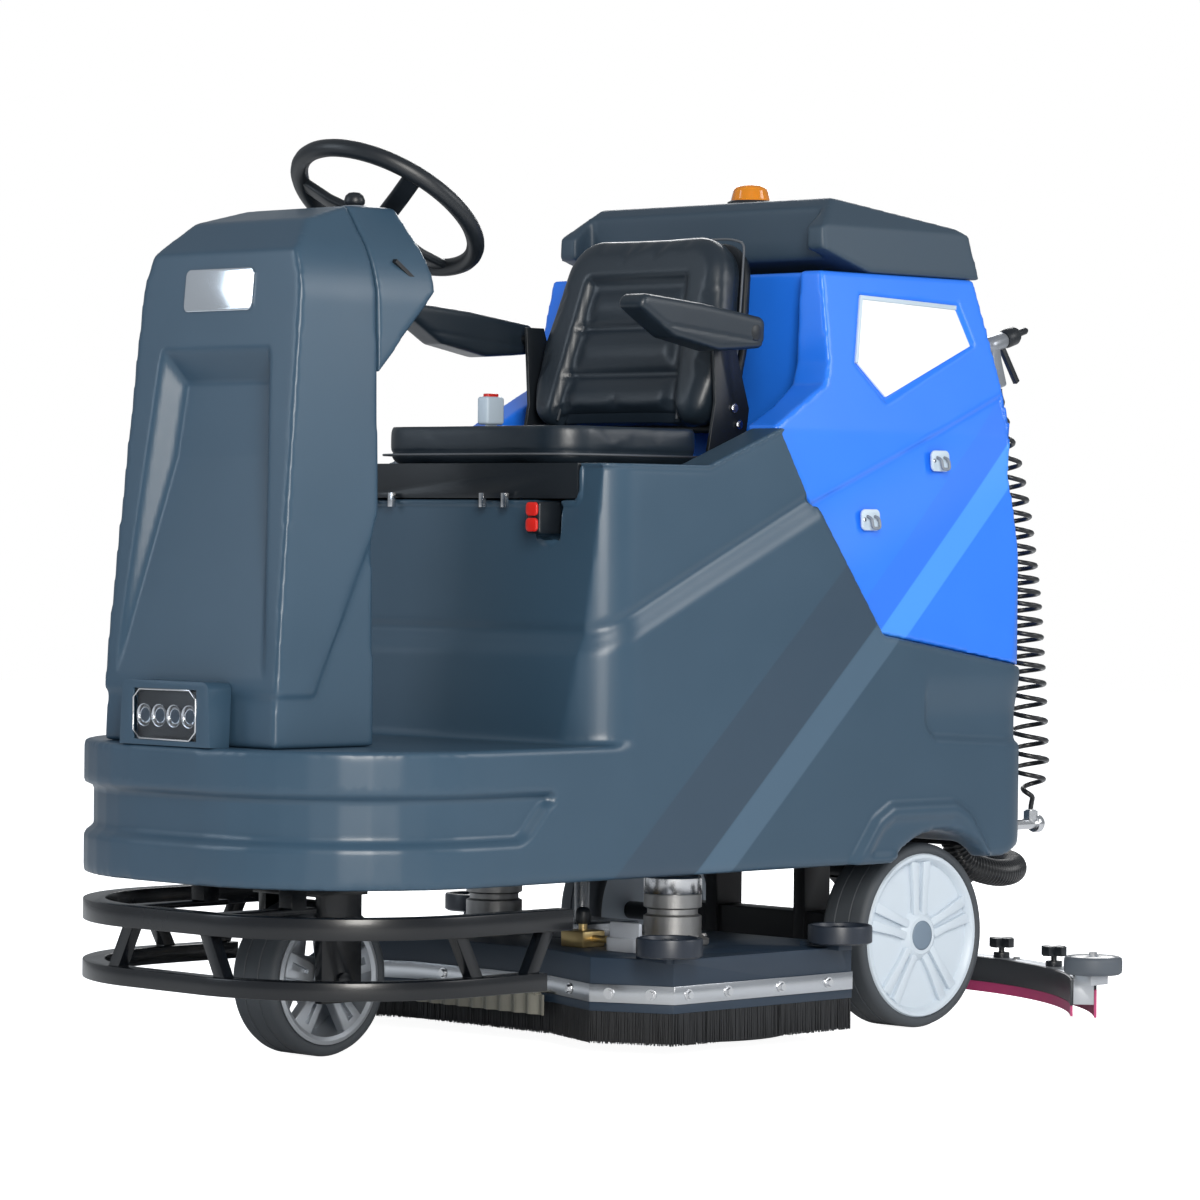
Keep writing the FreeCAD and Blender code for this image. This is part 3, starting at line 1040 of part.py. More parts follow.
# ---------------------------------------------------------------- hoses
def bent_tube(name, points, radius):
    """A tube along straight runs joined by tangent arcs. Prints each arc's radius."""
    spots = [FreeCAD.Vector(*point) for point in points]
    edges = []
    start = spots[0]
    for before, corner, after in zip(spots, spots[1:], spots[2:]):
        come = corner - before
        leave = after - corner
        half_turn = come.getAngle(leave) / 2
        reach = 0.45 * min(come.Length, leave.Length)
        first = corner - come.normalize() * reach
        last = corner + leave.normalize() * reach
        bend = reach / math.tan(half_turn)
        middle = corner + ((first + last) * 0.5 - corner).normalize() * (bend / math.cos(half_turn) - bend)
        edges.append(Part.LineSegment(start, first).toShape())
        edges.append(Part.Arc(first, middle, last).toShape())
        print(name, "arc radius", round(bend))
        start = last
    edges.append(Part.LineSegment(start, spots[-1]).toShape())
    path = Part.Wire(edges)
    circle = Part.Circle(spots[0], spots[1] - spots[0], radius).toShape()
    tube = path.makePipeShell([Part.Wire([circle])], True, False)
    feature = doc.addObject("Part::Feature", name)
    feature.Shape = tube
    print(name, "length", round(path.Length), "volume by section",
          round(path.Length * math.pi * radius ** 2 / 1000),
          "volume", round(tube.Volume / 1000), "cm3")
    return feature


SPRAY_HOSE = [(285, 664, 1040), (288, 668, 980), (300, 692, 850), (302, 715, 640), (302, 733, 450),
              (302, 737, 342.4)]
VACUUM_HOSE = [(0, 883, 132), (0, 884, 200), (80, 884, 240), (170, 850, 240), (232, 780, 232),
               (250, 700, 232),
               (240, 606, 262), (240, 600, 360)]


def hoses():
    part("spray_hose", bent_tube("SprayHose", SPRAY_HOSE, SIZES["coil_r"]))
    part("vacuum_hose", bent_tube("VacuumHose", VACUUM_HOSE, SIZES["vac_hose_r"]))


# ---------------------------------------------------------------- build
def build_all():
    chassis_frame()
    rear_axle()
    lift_actuator()
    main_body()
    battery_pack()
    front_guard()
    column_cowl()
    dash_pod()
    steering_column()
    headlight()
    pedal_bracket = accelerator_pedal()
    steering_wheel()
    speed_knob()
    front_fork()
    front_wheel()
    rear_wheels()
    recovery_tank()
    tank_lid()
    seat()
    hinge_brackets(pedal_bracket)
    belt_buckle()
    brush_deck()
    brushes()
    deck_rollers()
    squeegee()
    squeegee_arm()
    name_plates()
    tank_fittings()
    spray_gun()
    hoses()


build_all()
doc.recompute()
for piece in doc.Objects:
    if "Invalid" in piece.State or "Error" in piece.State:
        raise RuntimeError("%s did not build: %s" % (piece.Name, piece.State))
for piece in PARTS:
    if piece.Shape.isNull() or not piece.Shape.isValid():
        raise RuntimeError("%s has no valid shape" % piece.Label)
os.makedirs("parts", exist_ok=True)
for piece in PARTS:
    piece.Shape.exportStep("parts/%s.step" % piece.Label)
    print(piece.Label, len(piece.Shape.Solids), "solids", round(piece.Shape.Volume / 1000), "cm3")
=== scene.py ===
import bpy
import bmesh
import json
import math
import random
from mathutils import Matrix, Vector
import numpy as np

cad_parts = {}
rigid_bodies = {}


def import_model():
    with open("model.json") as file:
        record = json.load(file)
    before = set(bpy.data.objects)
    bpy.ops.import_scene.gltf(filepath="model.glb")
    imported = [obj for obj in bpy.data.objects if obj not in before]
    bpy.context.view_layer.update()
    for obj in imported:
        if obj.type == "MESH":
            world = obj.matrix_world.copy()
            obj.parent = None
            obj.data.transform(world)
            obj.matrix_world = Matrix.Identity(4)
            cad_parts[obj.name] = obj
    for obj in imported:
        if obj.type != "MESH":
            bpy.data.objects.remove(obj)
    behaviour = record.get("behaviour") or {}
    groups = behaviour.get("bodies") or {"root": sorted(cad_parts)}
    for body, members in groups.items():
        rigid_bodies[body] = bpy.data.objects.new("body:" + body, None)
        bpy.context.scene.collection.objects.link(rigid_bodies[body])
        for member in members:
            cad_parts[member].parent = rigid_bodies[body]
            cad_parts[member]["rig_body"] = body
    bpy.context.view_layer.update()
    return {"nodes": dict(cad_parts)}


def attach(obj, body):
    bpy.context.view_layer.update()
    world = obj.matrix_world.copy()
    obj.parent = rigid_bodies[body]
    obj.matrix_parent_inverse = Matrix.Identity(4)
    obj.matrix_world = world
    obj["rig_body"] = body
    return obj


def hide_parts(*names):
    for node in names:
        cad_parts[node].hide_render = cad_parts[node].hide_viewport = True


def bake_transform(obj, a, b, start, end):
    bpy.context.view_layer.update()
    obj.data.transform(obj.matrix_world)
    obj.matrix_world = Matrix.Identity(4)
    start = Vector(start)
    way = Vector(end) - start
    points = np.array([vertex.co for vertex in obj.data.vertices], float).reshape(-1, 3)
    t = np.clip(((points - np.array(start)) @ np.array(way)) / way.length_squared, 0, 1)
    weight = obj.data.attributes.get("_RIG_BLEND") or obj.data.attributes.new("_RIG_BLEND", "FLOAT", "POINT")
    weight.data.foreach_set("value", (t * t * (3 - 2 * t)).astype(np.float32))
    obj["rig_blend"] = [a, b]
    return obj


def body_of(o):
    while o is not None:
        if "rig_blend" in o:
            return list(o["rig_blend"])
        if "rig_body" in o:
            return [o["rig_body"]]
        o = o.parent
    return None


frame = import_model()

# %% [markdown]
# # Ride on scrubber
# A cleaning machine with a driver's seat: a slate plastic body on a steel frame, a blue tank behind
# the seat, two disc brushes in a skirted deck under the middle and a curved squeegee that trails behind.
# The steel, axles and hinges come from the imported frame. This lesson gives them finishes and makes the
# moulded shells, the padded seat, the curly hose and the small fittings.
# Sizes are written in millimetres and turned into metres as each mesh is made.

MM = 0.001
nodes = frame["nodes"]


def spot(x, y, z):
    """A place given in millimetres."""
    return Vector((x, y, z)) * MM


def ramp(value, start, end):
    """0 before start, 1 after end, and an eased rise between."""
    share = min(max((value - start) / (end - start), 0.0), 1.0)
    return share * share * (3 - 2 * share)


# %% [markdown]
# ## Camera and studio
# The camera stands low and far away, with a long lens, so the machine's upright lines stay upright.
# A large soft light near the camera's side draws the bright stripe down the rounded body corner. A pale
# sky fills the shadows, and the floor is pale too, so that dark plastic keeps its true tone.

# %% Camera
AZIMUTH, LIFT, ROLL = (math.radians(angle) for angle in (44.75, 0.834, 0.587))
back = Vector((math.sin(AZIMUTH) * math.cos(LIFT), -math.cos(AZIMUTH) * math.cos(LIFT), math.sin(LIFT)))
level = Vector((math.cos(AZIMUTH), math.sin(AZIMUTH), 0))
upright = back.cross(level)
side_way = level * math.cos(ROLL) + upright * math.sin(ROLL)
up_way = upright * math.cos(ROLL) - level * math.sin(ROLL)
camera = bpy.data.objects.new("camera", bpy.data.cameras.new("camera"))
bpy.context.scene.collection.objects.link(camera)
camera.data.lens = 143.6
camera.data.sensor_width = 36
camera.data.clip_end = 60
camera.matrix_world = Matrix.Translation((5.439, -5.477, 0.803)) @ Matrix(
    (side_way, up_way, back)).transposed().to_4x4()
bpy.context.scene.camera = camera
print("camera at", [round(v, 2) for v in camera.location])

# %% [markdown]
# The machine stands in a studio of four large soft rectangular lights and a dim sky. The key light gives the
# shape and the others fill it. Camera rays see plain white behind, and all other rays see the sky.

# %% Studio
scene = bpy.context.scene
scene.view_settings.view_transform = "Standard"
world = bpy.data.worlds.new("studio")
scene.world = world
world.use_nodes = True
sky = world.node_tree.nodes["Background"]
sky.inputs["Color"].default_value = (0.90, 0.95, 1.0, 1)
sky.inputs["Strength"].default_value = 0.34
plain = world.node_tree.nodes.new("ShaderNodeBackground")
plain.inputs["Color"].default_value = (1, 1, 1, 1)
seen = world.node_tree.nodes.new("ShaderNodeLightPath")
choice = world.node_tree.nodes.new("ShaderNodeMixShader")
world.node_tree.links.new(seen.outputs["Is Camera Ray"], choice.inputs["Fac"])
world.node_tree.links.new(sky.outputs["Background"], choice.inputs[1])
world.node_tree.links.new(plain.outputs["Background"], choice.inputs[2])
world.node_tree.links.new(choice.outputs["Shader"], world.node_tree.nodes["World Output"].inputs["Surface"])


def studio_light(name, place, aim, wide, tall, power, tint=(1, 1, 1)):
    light = bpy.data.lights.new(name, "AREA")
    light.shape = "RECTANGLE"
    light.size = wide
    light.size_y = tall
    light.energy = power
    light.color = tint
    holder = bpy.data.objects.new(name, light)
    scene.collection.objects.link(holder)
    holder.location = place
    holder.rotation_euler = (Vector(aim) - Vector(place)).to_track_quat("-Z", "Y").to_euler()
    return holder


studio_light("key", (3.9, -3.0, 2.2), (0, -0.1, 0.6), 1.3, 2.8, 215, (1, 0.97, 0.92))
studio_light("side", (4.2, 2.6, 2.6), (0, 0.2, 0.8), 2.0, 2.0, 62)
studio_light("front", (-2.2, -4.0, 2.4), (0, -0.4, 0.7), 1.2, 2.4, 42, (0.8, 0.9, 1))
studio_light("back", (-2.6, 3.6, 2.8), (0, 0.4, 0.9), 2.5, 2.0, 110)

# %% [markdown]
# The floor is one grid, a millimetre under the wheels.

# %% Floor
floor_mesh = bmesh.new()
bmesh.ops.create_grid(floor_mesh, x_segments=2, y_segments=2, size=14)
floor_data = bpy.data.meshes.new("floor")
floor_mesh.to_mesh(floor_data)
floor_mesh.free()
floor = bpy.data.objects.new("floor", floor_data)
scene.collection.objects.link(floor)
floor.location.z = -0.001
floor_paint = bpy.data.materials.new("floor_paint")
floor_paint.use_nodes = True
floor_paint.node_tree.nodes["Principled BSDF"].inputs["Base Color"].default_value = (0.9, 0.91, 0.92, 1)
floor_paint.node_tree.nodes["Principled BSDF"].inputs["Roughness"].default_value = 0.7
floor_paint.node_tree.nodes["Principled BSDF"].inputs["Emission Color"].default_value = (1, 1, 1, 1)
glow = floor_paint.node_tree.nodes.new("ShaderNodeLightPath")
level_up = floor_paint.node_tree.nodes.new("ShaderNodeMath")
level_up.operation = "MULTIPLY"
level_up.inputs[1].default_value = 0.95
floor_paint.node_tree.links.new(glow.outputs["Is Camera Ray"], level_up.inputs[0])
floor_paint.node_tree.links.new(level_up.outputs[0],
                                floor_paint.node_tree.nodes["Principled BSDF"].inputs["Emission Strength"])
floor.data.materials.append(floor_paint)

# %% [markdown]
# ## Finishes
# Every finish is a small tree of nodes on one shader. Slow noise shifts the colour a little, as dust and
# handling do. Fine noise sets the gloss and a bump: the leather grain of moulded plastic, the brushing of
# steel, the pores of rubber. All of them read object coordinates, in metres.

# %% A finish maker
def finish(name, colour, rough, metal=0.0, grain=900, bump=0.12, drift=0.12, patches=7, stretch=(1, 1, 1),
           coat=0.0, sheen=0.0, specular=0.5):
    """A shader with colour drift, uneven gloss and a fine bump. Returns the material."""
    paint = bpy.data.materials.new(name)
    paint.use_nodes = True
    tree = paint.node_tree
    shader = tree.nodes["Principled BSDF"]
    shader.inputs["Metallic"].default_value = metal
    shader.inputs["Coat Weight"].default_value = coat
    shader.inputs["Sheen Weight"].default_value = sheen
    shader.inputs["Specular IOR Level"].default_value = specular
    where = tree.nodes.new("ShaderNodeTexCoord")
    turn = tree.nodes.new("ShaderNodeMapping")
    turn.inputs["Scale"].default_value = stretch
    slow = tree.nodes.new("ShaderNodeTexNoise")
    slow.inputs["Scale"].default_value = patches
    slow.inputs["Detail"].default_value = 5
    fine = tree.nodes.new("ShaderNodeTexNoise")
    fine.inputs["Scale"].default_value = grain
    fine.inputs["Detail"].default_value = 3
    tint = tree.nodes.new("ShaderNodeMix")
    tint.data_type = "RGBA"
    tint.inputs["A"].default_value = (*[c * (1 - drift) for c in colour], 1)
    tint.inputs["B"].default_value = (*[min(c * (1 + drift), 1) for c in colour], 1)
    gloss = tree.nodes.new("ShaderNodeMapRange")
    gloss.inputs["To Min"].default_value = rough * 0.82
    gloss.inputs["To Max"].default_value = min(rough * 1.18, 1)
    dent = tree.nodes.new("ShaderNodeBump")
    dent.inputs["Strength"].default_value = bump
    dent.inputs["Distance"].default_value = 0.0006
    links = tree.links
    links.new(where.outputs["Object"], turn.inputs["Vector"])
    links.new(turn.outputs["Vector"], slow.inputs["Vector"])
    links.new(turn.outputs["Vector"], fine.inputs["Vector"])
    links.new(slow.outputs["Fac"], tint.inputs["Factor"])
    links.new(tint.outputs["Result"], shader.inputs["Base Color"])
    links.new(slow.outputs["Fac"], gloss.inputs["Value"])
    links.new(gloss.outputs["Result"], shader.inputs["Roughness"])
    links.new(fine.outputs["Fac"], dent.inputs["Height"])
    links.new(dent.outputs["Normal"], shader.inputs["Normal"])
    return paint


# %% [markdown]
# The body and the tank carry slanting bands, one darker and one lighter than the plastic round them.
# They are printed on the sides only, so the finish measures distance across the slant in Y and Z, and
# two narrow ranges of it darken and lighten the colour.

# %% Slanting bands
def add_bands(paint, slant, dark, light, darker, lighter):
    """Darken and lighten two bands across a slant. dark and light are (start, end) in metres."""
    tree = paint.node_tree
    links = tree.links
    shader = tree.nodes["Principled BSDF"]
    base = shader.inputs["Base Color"].links[0].from_socket
    where = next(node for node in tree.nodes if node.type == "TEX_COORD")
    across = tree.nodes.new("ShaderNodeVectorMath")
    across.operation = "DOT_PRODUCT"
    across.inputs[1].default_value = (0, math.cos(slant), math.sin(slant))
    links.new(where.outputs["Object"], across.inputs[0])
    split = tree.nodes.new("ShaderNodeSeparateXYZ")
    links.new(where.outputs["Object"], split.inputs["Vector"])
    size = tree.nodes.new("ShaderNodeMath")
    size.operation = "ABSOLUTE"
    links.new(split.outputs["X"], size.inputs[0])
    on_side = tree.nodes.new("ShaderNodeMapRange")
    on_side.inputs["From Min"].default_value = 0.30
    on_side.inputs["From Max"].default_value = 0.34
    links.new(size.outputs[0], on_side.inputs["Value"])
    for (start, end), target in ((dark, darker), (light, lighter)):
        steps = []
        for edge in (start, end):
            step = tree.nodes.new("ShaderNodeMapRange")
            step.inputs["From Min"].default_value = edge - 0.0015
            step.inputs["From Max"].default_value = edge + 0.0015
            links.new(across.outputs["Value"], step.inputs["Value"])
            steps.append(step)
        inside = tree.nodes.new("ShaderNodeMath")
        inside.operation = "SUBTRACT"
        links.new(steps[0].outputs["Result"], inside.inputs[0])
        links.new(steps[1].outputs["Result"], inside.inputs[1])
        strength = tree.nodes.new("ShaderNodeMath")
        strength.operation = "MULTIPLY"
        links.new(inside.outputs[0], strength.inputs[0])
        links.new(on_side.outputs["Result"], strength.inputs[1])
        blend = tree.nodes.new("ShaderNodeMix")
        blend.data_type = "RGBA"
        blend.inputs["B"].default_value = (*target, 1)
        links.new(strength.outputs[0], blend.inputs["Factor"])
        links.new(base, blend.inputs["A"])
        base = blend.outputs["Result"]
    links.new(base, shader.inputs["Base Color"])


# %% [markdown]
# Each line is one finish: its colour, its roughness, how fine its grain is and how deep its bump. Moulded
# plastic is fairly matt, plated metal is sharp and rubber is dull.

# %% The finishes themselves
SLATE = (0.031, 0.066, 0.106)
BLUE = (0.018, 0.185, 0.86)
slate = finish("slate_plastic", SLATE, 0.34, grain=1400, bump=0.08, drift=0.07)
slate_side = finish("slate_plastic_banded", SLATE, 0.34, grain=1400, bump=0.08, drift=0.07)
tank_blue = finish("tank_blue", BLUE, 0.33, grain=1100, bump=0.06, drift=0.05, coat=0.15)
lid_dark = finish("lid_plastic", (0.030, 0.054, 0.082), 0.5, grain=1400, bump=0.12, drift=0.07)
black_plastic = finish("black_plastic", (0.008, 0.011, 0.015), 0.4, grain=1600, bump=0.14, drift=0.15)
guard_black = finish("guard_black", (0.004, 0.005, 0.007), 0.26, grain=600, bump=0.04, drift=0.15, coat=0.1)
frame_black = finish("frame_black", (0.007, 0.008, 0.010), 0.45, grain=700, bump=0.15, drift=0.2)
vinyl = finish("seat_vinyl", (0.013, 0.021, 0.031), 0.34, grain=1500, bump=0.16, drift=0.12)
steel = finish("bright_steel", (0.66, 0.67, 0.69), 0.24, metal=1, grain=500, bump=0.05, stretch=(1, 1, 12))
strap_steel = finish("strap_steel", (0.60, 0.62, 0.65), 0.24, metal=1, grain=260, bump=0.03,
                     stretch=(1, 1, 14))
cast = finish("cast_alloy", (0.42, 0.42, 0.42), 0.42, metal=0.9, grain=420, bump=0.4, drift=0.2)
tyre_rubber = finish("tyre_rubber", (0.052, 0.06, 0.07), 0.62, grain=700, bump=0.2, drift=0.2)
hub_grey = finish("hub_grey", (0.56, 0.63, 0.70), 0.38, grain=1200, bump=0.06, drift=0.05)
rim_silver = finish("rim_silver", (0.44, 0.47, 0.51), 0.32, metal=0.6, grain=900, bump=0.08, drift=0.08)
# The piping is vinyl like the seat; its lighter grey is a painted highlight along the seams.
welt_painted_highlight = finish("seat_welt_painted_highlight", (0.10, 0.11, 0.125), 0.4, grain=900, bump=0.1)
deck_navy = finish("deck_plastic", (0.016, 0.030, 0.052), 0.42, grain=1300, bump=0.12)
roller_blue = finish("roller_plastic", (0.016, 0.022, 0.034), 0.38, grain=1300, bump=0.08)
chrome = finish("chrome_plate", (0.75, 0.80, 0.86), 0.12, metal=0.9, grain=300, bump=0.02, drift=0.03)
gun_silver = finish("gun_silver", (0.30, 0.32, 0.35), 0.3, metal=0.6, grain=700, bump=0.06)
pale_cast = finish("pale_cast", (0.46, 0.49, 0.54), 0.4, metal=0.4, grain=600, bump=0.2)
brass = finish("valve_brass", (0.55, 0.42, 0.20), 0.35, metal=0.9, grain=500, bump=0.1)
side_grey = finish("side_wheel_rubber", (0.085, 0.10, 0.12), 0.55, grain=800, bump=0.12)
squeegee_dark = finish("clamp_alloy", (0.05, 0.055, 0.062), 0.4, metal=0.4, grain=600, bump=0.08)
cap_grey = finish("cap_grey", (0.16, 0.215, 0.28), 0.45, grain=1200, bump=0.06)
grey_plastic = finish("grey_plastic", (0.20, 0.225, 0.26), 0.45, grain=1200, bump=0.1)
pale_grey = finish("pale_grey", (0.50, 0.60, 0.70), 0.4, grain=1200, bump=0.06, drift=0.05)
panel_white = finish("panel_white", (0.9, 0.91, 0.92), 0.25, grain=800, bump=0.02, drift=0.02)
red_plastic = finish("red_plastic", (0.62, 0.018, 0.012), 0.3, grain=900, bump=0.05)
amber = finish("beacon_amber", (0.95, 0.33, 0.01), 0.12, grain=300, bump=0.02, drift=0.06, coat=0.5)
blade_pink = finish("blade_rubber", (0.46, 0.045, 0.16), 0.5, grain=700, bump=0.08, drift=0.1)
hose_black = finish("hose_black", (0.012, 0.013, 0.015), 0.3, grain=800, bump=0.05)
bristle_black = finish("bristle_black", (0.009, 0.010, 0.012), 0.5, grain=2400, bump=0.5,
                       stretch=(1, 1, 0.04))
clear_strip = finish("splash_plastic", (0.24, 0.235, 0.20), 0.3, grain=600, bump=0.05)
squeegee_grey = finish("squeegee_alloy", (0.52, 0.54, 0.57), 0.34, metal=0.7, grain=500, bump=0.06,
                       stretch=(1, 1, 8))
glass = finish("lens_glass", (0.9, 0.94, 1.0), 0.05, grain=200, bump=0.01, drift=0.02)
glass.node_tree.nodes["Principled BSDF"].inputs["Transmission Weight"].default_value = 1
amber.node_tree.nodes["Principled BSDF"].inputs["Transmission Weight"].default_value = 0.35
BAND_SLANT = math.radians(-47.5)
add_bands(slate_side, BAND_SLANT, (-0.43, -0.31), (-0.31, -0.255), (0.029, 0.055, 0.088),
          (0.058, 0.108, 0.165))
add_bands(tank_blue, BAND_SLANT, (-0.35, -0.29), (-0.29, -0.24), (0.020, 0.17, 0.80), (0.055, 0.29, 0.95))
print(len(bpy.data.materials), "materials")

# %% [markdown]
# Nodes that keep the shape they have in the frame only need the right finish.

# %% Finishes for the frame's own nodes
CARRIED = {
    frame_black: ("chassis_frame", "rear_axle", "drive_motor", "steering_column", "squeegee_arm",
                  "lift_rod",
                  "seat_brackets", "battery_pack"),
    steel: ("lift_actuator", "steering_shaft"),
    slate: ("dash_pod", "headlight_bezel"),
    glass: ("headlight_lens",),
    cast: ("deck_fittings", "brush_motors", "hinge_brackets"),
    black_plastic: ("accelerator_pedal", "steering_wheel", "speed_knob", "belt_buckle", "seat_plate",
                    "vacuum_motor", "deck_housing", "left_brush", "right_brush", "squeegee_knobs"),
    guard_black: ("front_guard", "front_fork"),
    rim_silver: ("front_rim",),
    hub_grey: ("rear_rim_left", "rear_rim_right"),
    tyre_rubber: ("front_tyre", "rear_tyre_left", "rear_tyre_right", "side_wheel_left", "side_wheel_right",
                  "roller_front_left", "roller_front_right", "roller_rear_left", "roller_rear_right"),
    strap_steel: ("deck_band",),
    pale_grey: ("tank_fittings",),
    red_plastic: ("buckle_button",),
    amber: ("beacon_lens",),
    blade_pink: ("squeegee_blades",),
    squeegee_grey: ("squeegee_bar",),
    bristle_black: ("deck_skirt",),
    grey_plastic: ("spray_gun", "gun_trigger"),
}
for paint, names in CARRIED.items():
    for name in names:
        nodes[name].data.materials.clear()
        nodes[name].data.materials.append(paint)
print(sum(len(names) for names in CARRIED.values()), "nodes carried over")

# %% [markdown]
# ## Helpers for making pieces
# A flat outline pushed along an axis gives a block. Blocks are cut with a boolean, then moulded: a fine
# voxel remesh and a few smoothing passes turn every sharp edge into the soft radius of rotomoulded plastic.

# %% Blocks from outlines
LAY = {"X": lambda a, b, c: (c, a, b), "Y": lambda a, b, c: (a, c, b), "Z": lambda a, b, c: (a, b, c)}


def block(corners, span, along="X", rounds=()):
    """A solid from an outline in millimetres, pushed along an axis. rounds: (corner numbers, radius)."""
    bm = bmesh.new()
    lay = LAY[along]
    ring = [bm.verts.new(spot(*lay(a, b, span[0]))) for a, b in corners]
    face = bm.faces.new(ring)
    pushed = bmesh.ops.extrude_face_region(bm, geom=[face], use_keep_orig=True)
    moved = [item for item in pushed["geom"] if isinstance(item, bmesh.types.BMVert)]
    bmesh.ops.translate(bm, verts=moved, vec=spot(*lay(0, 0, span[1] - span[0])))
    way = spot(*lay(0, 0, 1)).normalized()
    for numbers, radius in rounds:
        posts = [edge for number in numbers for edge in ring[number].link_edges
                 if abs((edge.verts[0].co - edge.verts[1].co).normalized().dot(way)) > 0.99]
        bmesh.ops.bevel(bm, geom=posts, offset=radius * MM, offset_type="OFFSET", affect="EDGES",
                        segments=10,
                        profile=0.5, material=-1, clamp_overlap=True)
        ring = [vert if vert and vert.is_valid else None for vert in ring]
    bmesh.ops.recalc_face_normals(bm, faces=bm.faces[:])
    return bm


def drum(centre, radius, span, along="Z", segments=48):
    """A cylinder in millimetres along an axis; centre gives the two places across it, in X, Y, Z order."""
    bm = bmesh.new()
    low, high = span
    bmesh.ops.create_cone(bm, cap_ends=True, segments=segments, radius1=radius * MM, radius2=radius * MM,
                          depth=(high - low) * MM)
    turn = {"X": Matrix.Rotation(math.pi / 2, 4, "Y"), "Y": Matrix.Rotation(-math.pi / 2, 4, "X"),
            "Z": Matrix.Identity(4)}[along]
    middle = (low + high) / 2
    place = {"X": (middle, *centre), "Y": (centre[0], middle, centre[1]), "Z": (*centre, middle)}[along]
    bmesh.ops.transform(bm, matrix=Matrix.Translation(spot(*place)) @ turn, verts=bm.verts[:])
    return bm


def add(bm, *others):
    """Put other meshes into the first one."""
    for other in others:
        scrap = bpy.data.meshes.new("scrap")
        other.to_mesh(scrap)
        other.free()
        bm.from_mesh(scrap)
        bpy.data.meshes.remove(scrap)
    return bm


def scratch(bm, name="scratch"):
    mesh = bpy.data.meshes.new(name)
    bm.to_mesh(mesh)
    bm.free()
    made = bpy.data.objects.new(name, mesh)
    scene.collection.objects.link(made)
    return made


def bake(made, *helpers):
    """The mesh with its modifiers, as a bmesh; the objects are thrown away."""
    bpy.context.view_layer.update()
    seen = made.evaluated_get(bpy.context.evaluated_depsgraph_get())
    bm = bmesh.new()
    bm.from_mesh(seen.to_mesh())
    seen.to_mesh_clear()
    for item in (made, *helpers):
        mesh = item.data
        bpy.data.objects.remove(item)
        bpy.data.meshes.remove(mesh)
    return bm


def combine(bm, tool, way="DIFFERENCE"):
    made, knife = scratch(bm), scratch(tool)
    trim = made.modifiers.new("trim", "BOOLEAN")
    trim.operation, trim.solver, trim.object = way, "EXACT", knife
    return bake(made, knife)


def mould(bm, voxel, passes):
    """Remesh at a voxel size in millimetres, smooth the edges round."""
    made = scratch(bm)
    grid = made.modifiers.new("grid", "REMESH")
    grid.mode, grid.voxel_size = "VOXEL", voxel * MM
    soft = made.modifiers.new("soft", "SMOOTH")
    soft.factor, soft.iterations = 0.5, passes
    return bake(made)


def thin(bm, share):
    made = scratch(bm)
    fewer = made.modifiers.new("fewer", "DECIMATE")
    fewer.ratio = share
    return bake(made)


# %% [markdown]
# Every bmesh ends here. It becomes an object, gets its finishes, rides on a body and hides the frame's nodes
# that it replaces. A bevel takes off each sharp edge, because no real edge is a knife edge.

# %% Finished pieces
triangles = {}


def piece(name, bm, body, slot, *paints, replaces=(), smooth=True, crease=0):
    """Turn a bmesh into a piece on a body, or on none yet. crease: edges that turn more degrees stay sharp."""
    mesh = bpy.data.meshes.new(name)
    bm.to_mesh(mesh)
    bm.free()
    made = bpy.data.objects.new(name, mesh)
    scene.collection.objects.link(made)
    for paint in paints:
        mesh.materials.append(paint)
    if smooth:
        mesh.shade_smooth()
    if crease:
        mesh.set_sharp_from_angle(angle=math.radians(crease))
    if body:
        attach(made, body)
    if replaces:
        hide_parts(*replaces)
    triangles[name] = sum(len(face.vertices) - 2 for face in mesh.polygons)
    print(name, triangles[name], "triangles")
    return made


def rounded(bm, width, segments=3, sharper=30):
    """Bevel every edge that turns more than an angle. Width in millimetres."""
    bmesh.ops.remove_doubles(bm, verts=bm.verts[:], dist=0.00002)
    bmesh.ops.dissolve_limit(bm, angle_limit=math.radians(1), verts=bm.verts[:], edges=bm.edges[:])
    edges = [edge for edge in bm.edges
             if edge.is_manifold and edge.calc_face_angle(0) > math.radians(sharper)]
    bmesh.ops.bevel(bm, geom=edges, offset=width * MM, offset_type="OFFSET", affect="EDGES",
                    segments=segments, profile=0.5, material=-1, clamp_overlap=True)
    return bm


# %% [markdown]
# A moulded wall is also pushed in here and there: grooves, panels, steps. After the remesh the wall has
# points every few millimetres, so a groove is a rule that says how deep each point goes. inside() tells
# how far a place lies within a flat outline, and press() moves the points along their own normals.

# %% Pressing shapes into a wall
def inside(outline, a, b):
    """Distance in from the nearest edge of a convex or bent outline; negative outside."""
    nearest = 1e9
    within = False
    for (a1, b1), (a2, b2) in zip(outline, outline[1:] + outline[:1]):
        length = (a2 - a1) ** 2 + (b2 - b1) ** 2
        share = min(max(((a - a1) * (a2 - a1) + (b - b1) * (b2 - b1)) / length, 0), 1)
        nearest = min(nearest, math.hypot(a - a1 - share * (a2 - a1), b - b1 - share * (b2 - b1)))
        if (b1 > b) != (b2 > b) and a < (a2 - a1) * (b - b1) / (b2 - b1) + a1:
            within = not within
    return nearest if within else -nearest


def press(bm, depth):
    """Move each point inward by depth(x, y, z, normal), all in millimetres."""
    bm.normal_update()
    moves = []
    for vert in bm.verts:
        deep = depth(*(vert.co / MM), vert.normal)
        if deep:
            moves.append((vert, vert.normal * (-deep * MM)))
    for vert, move in moves:
        vert.co += move
    bm.normal_update()
    return bm


def soften(bm, passes, choose):
    """Smooth only the points that choose(x, y, z) picks."""
    picked = [vert for vert in bm.verts if choose(*(vert.co / MM))]
    for _ in range(passes):
        bmesh.ops.smooth_vert(bm, verts=picked, factor=0.5, use_axis_x=True, use_axis_y=True,
                              use_axis_z=True)
    return bm

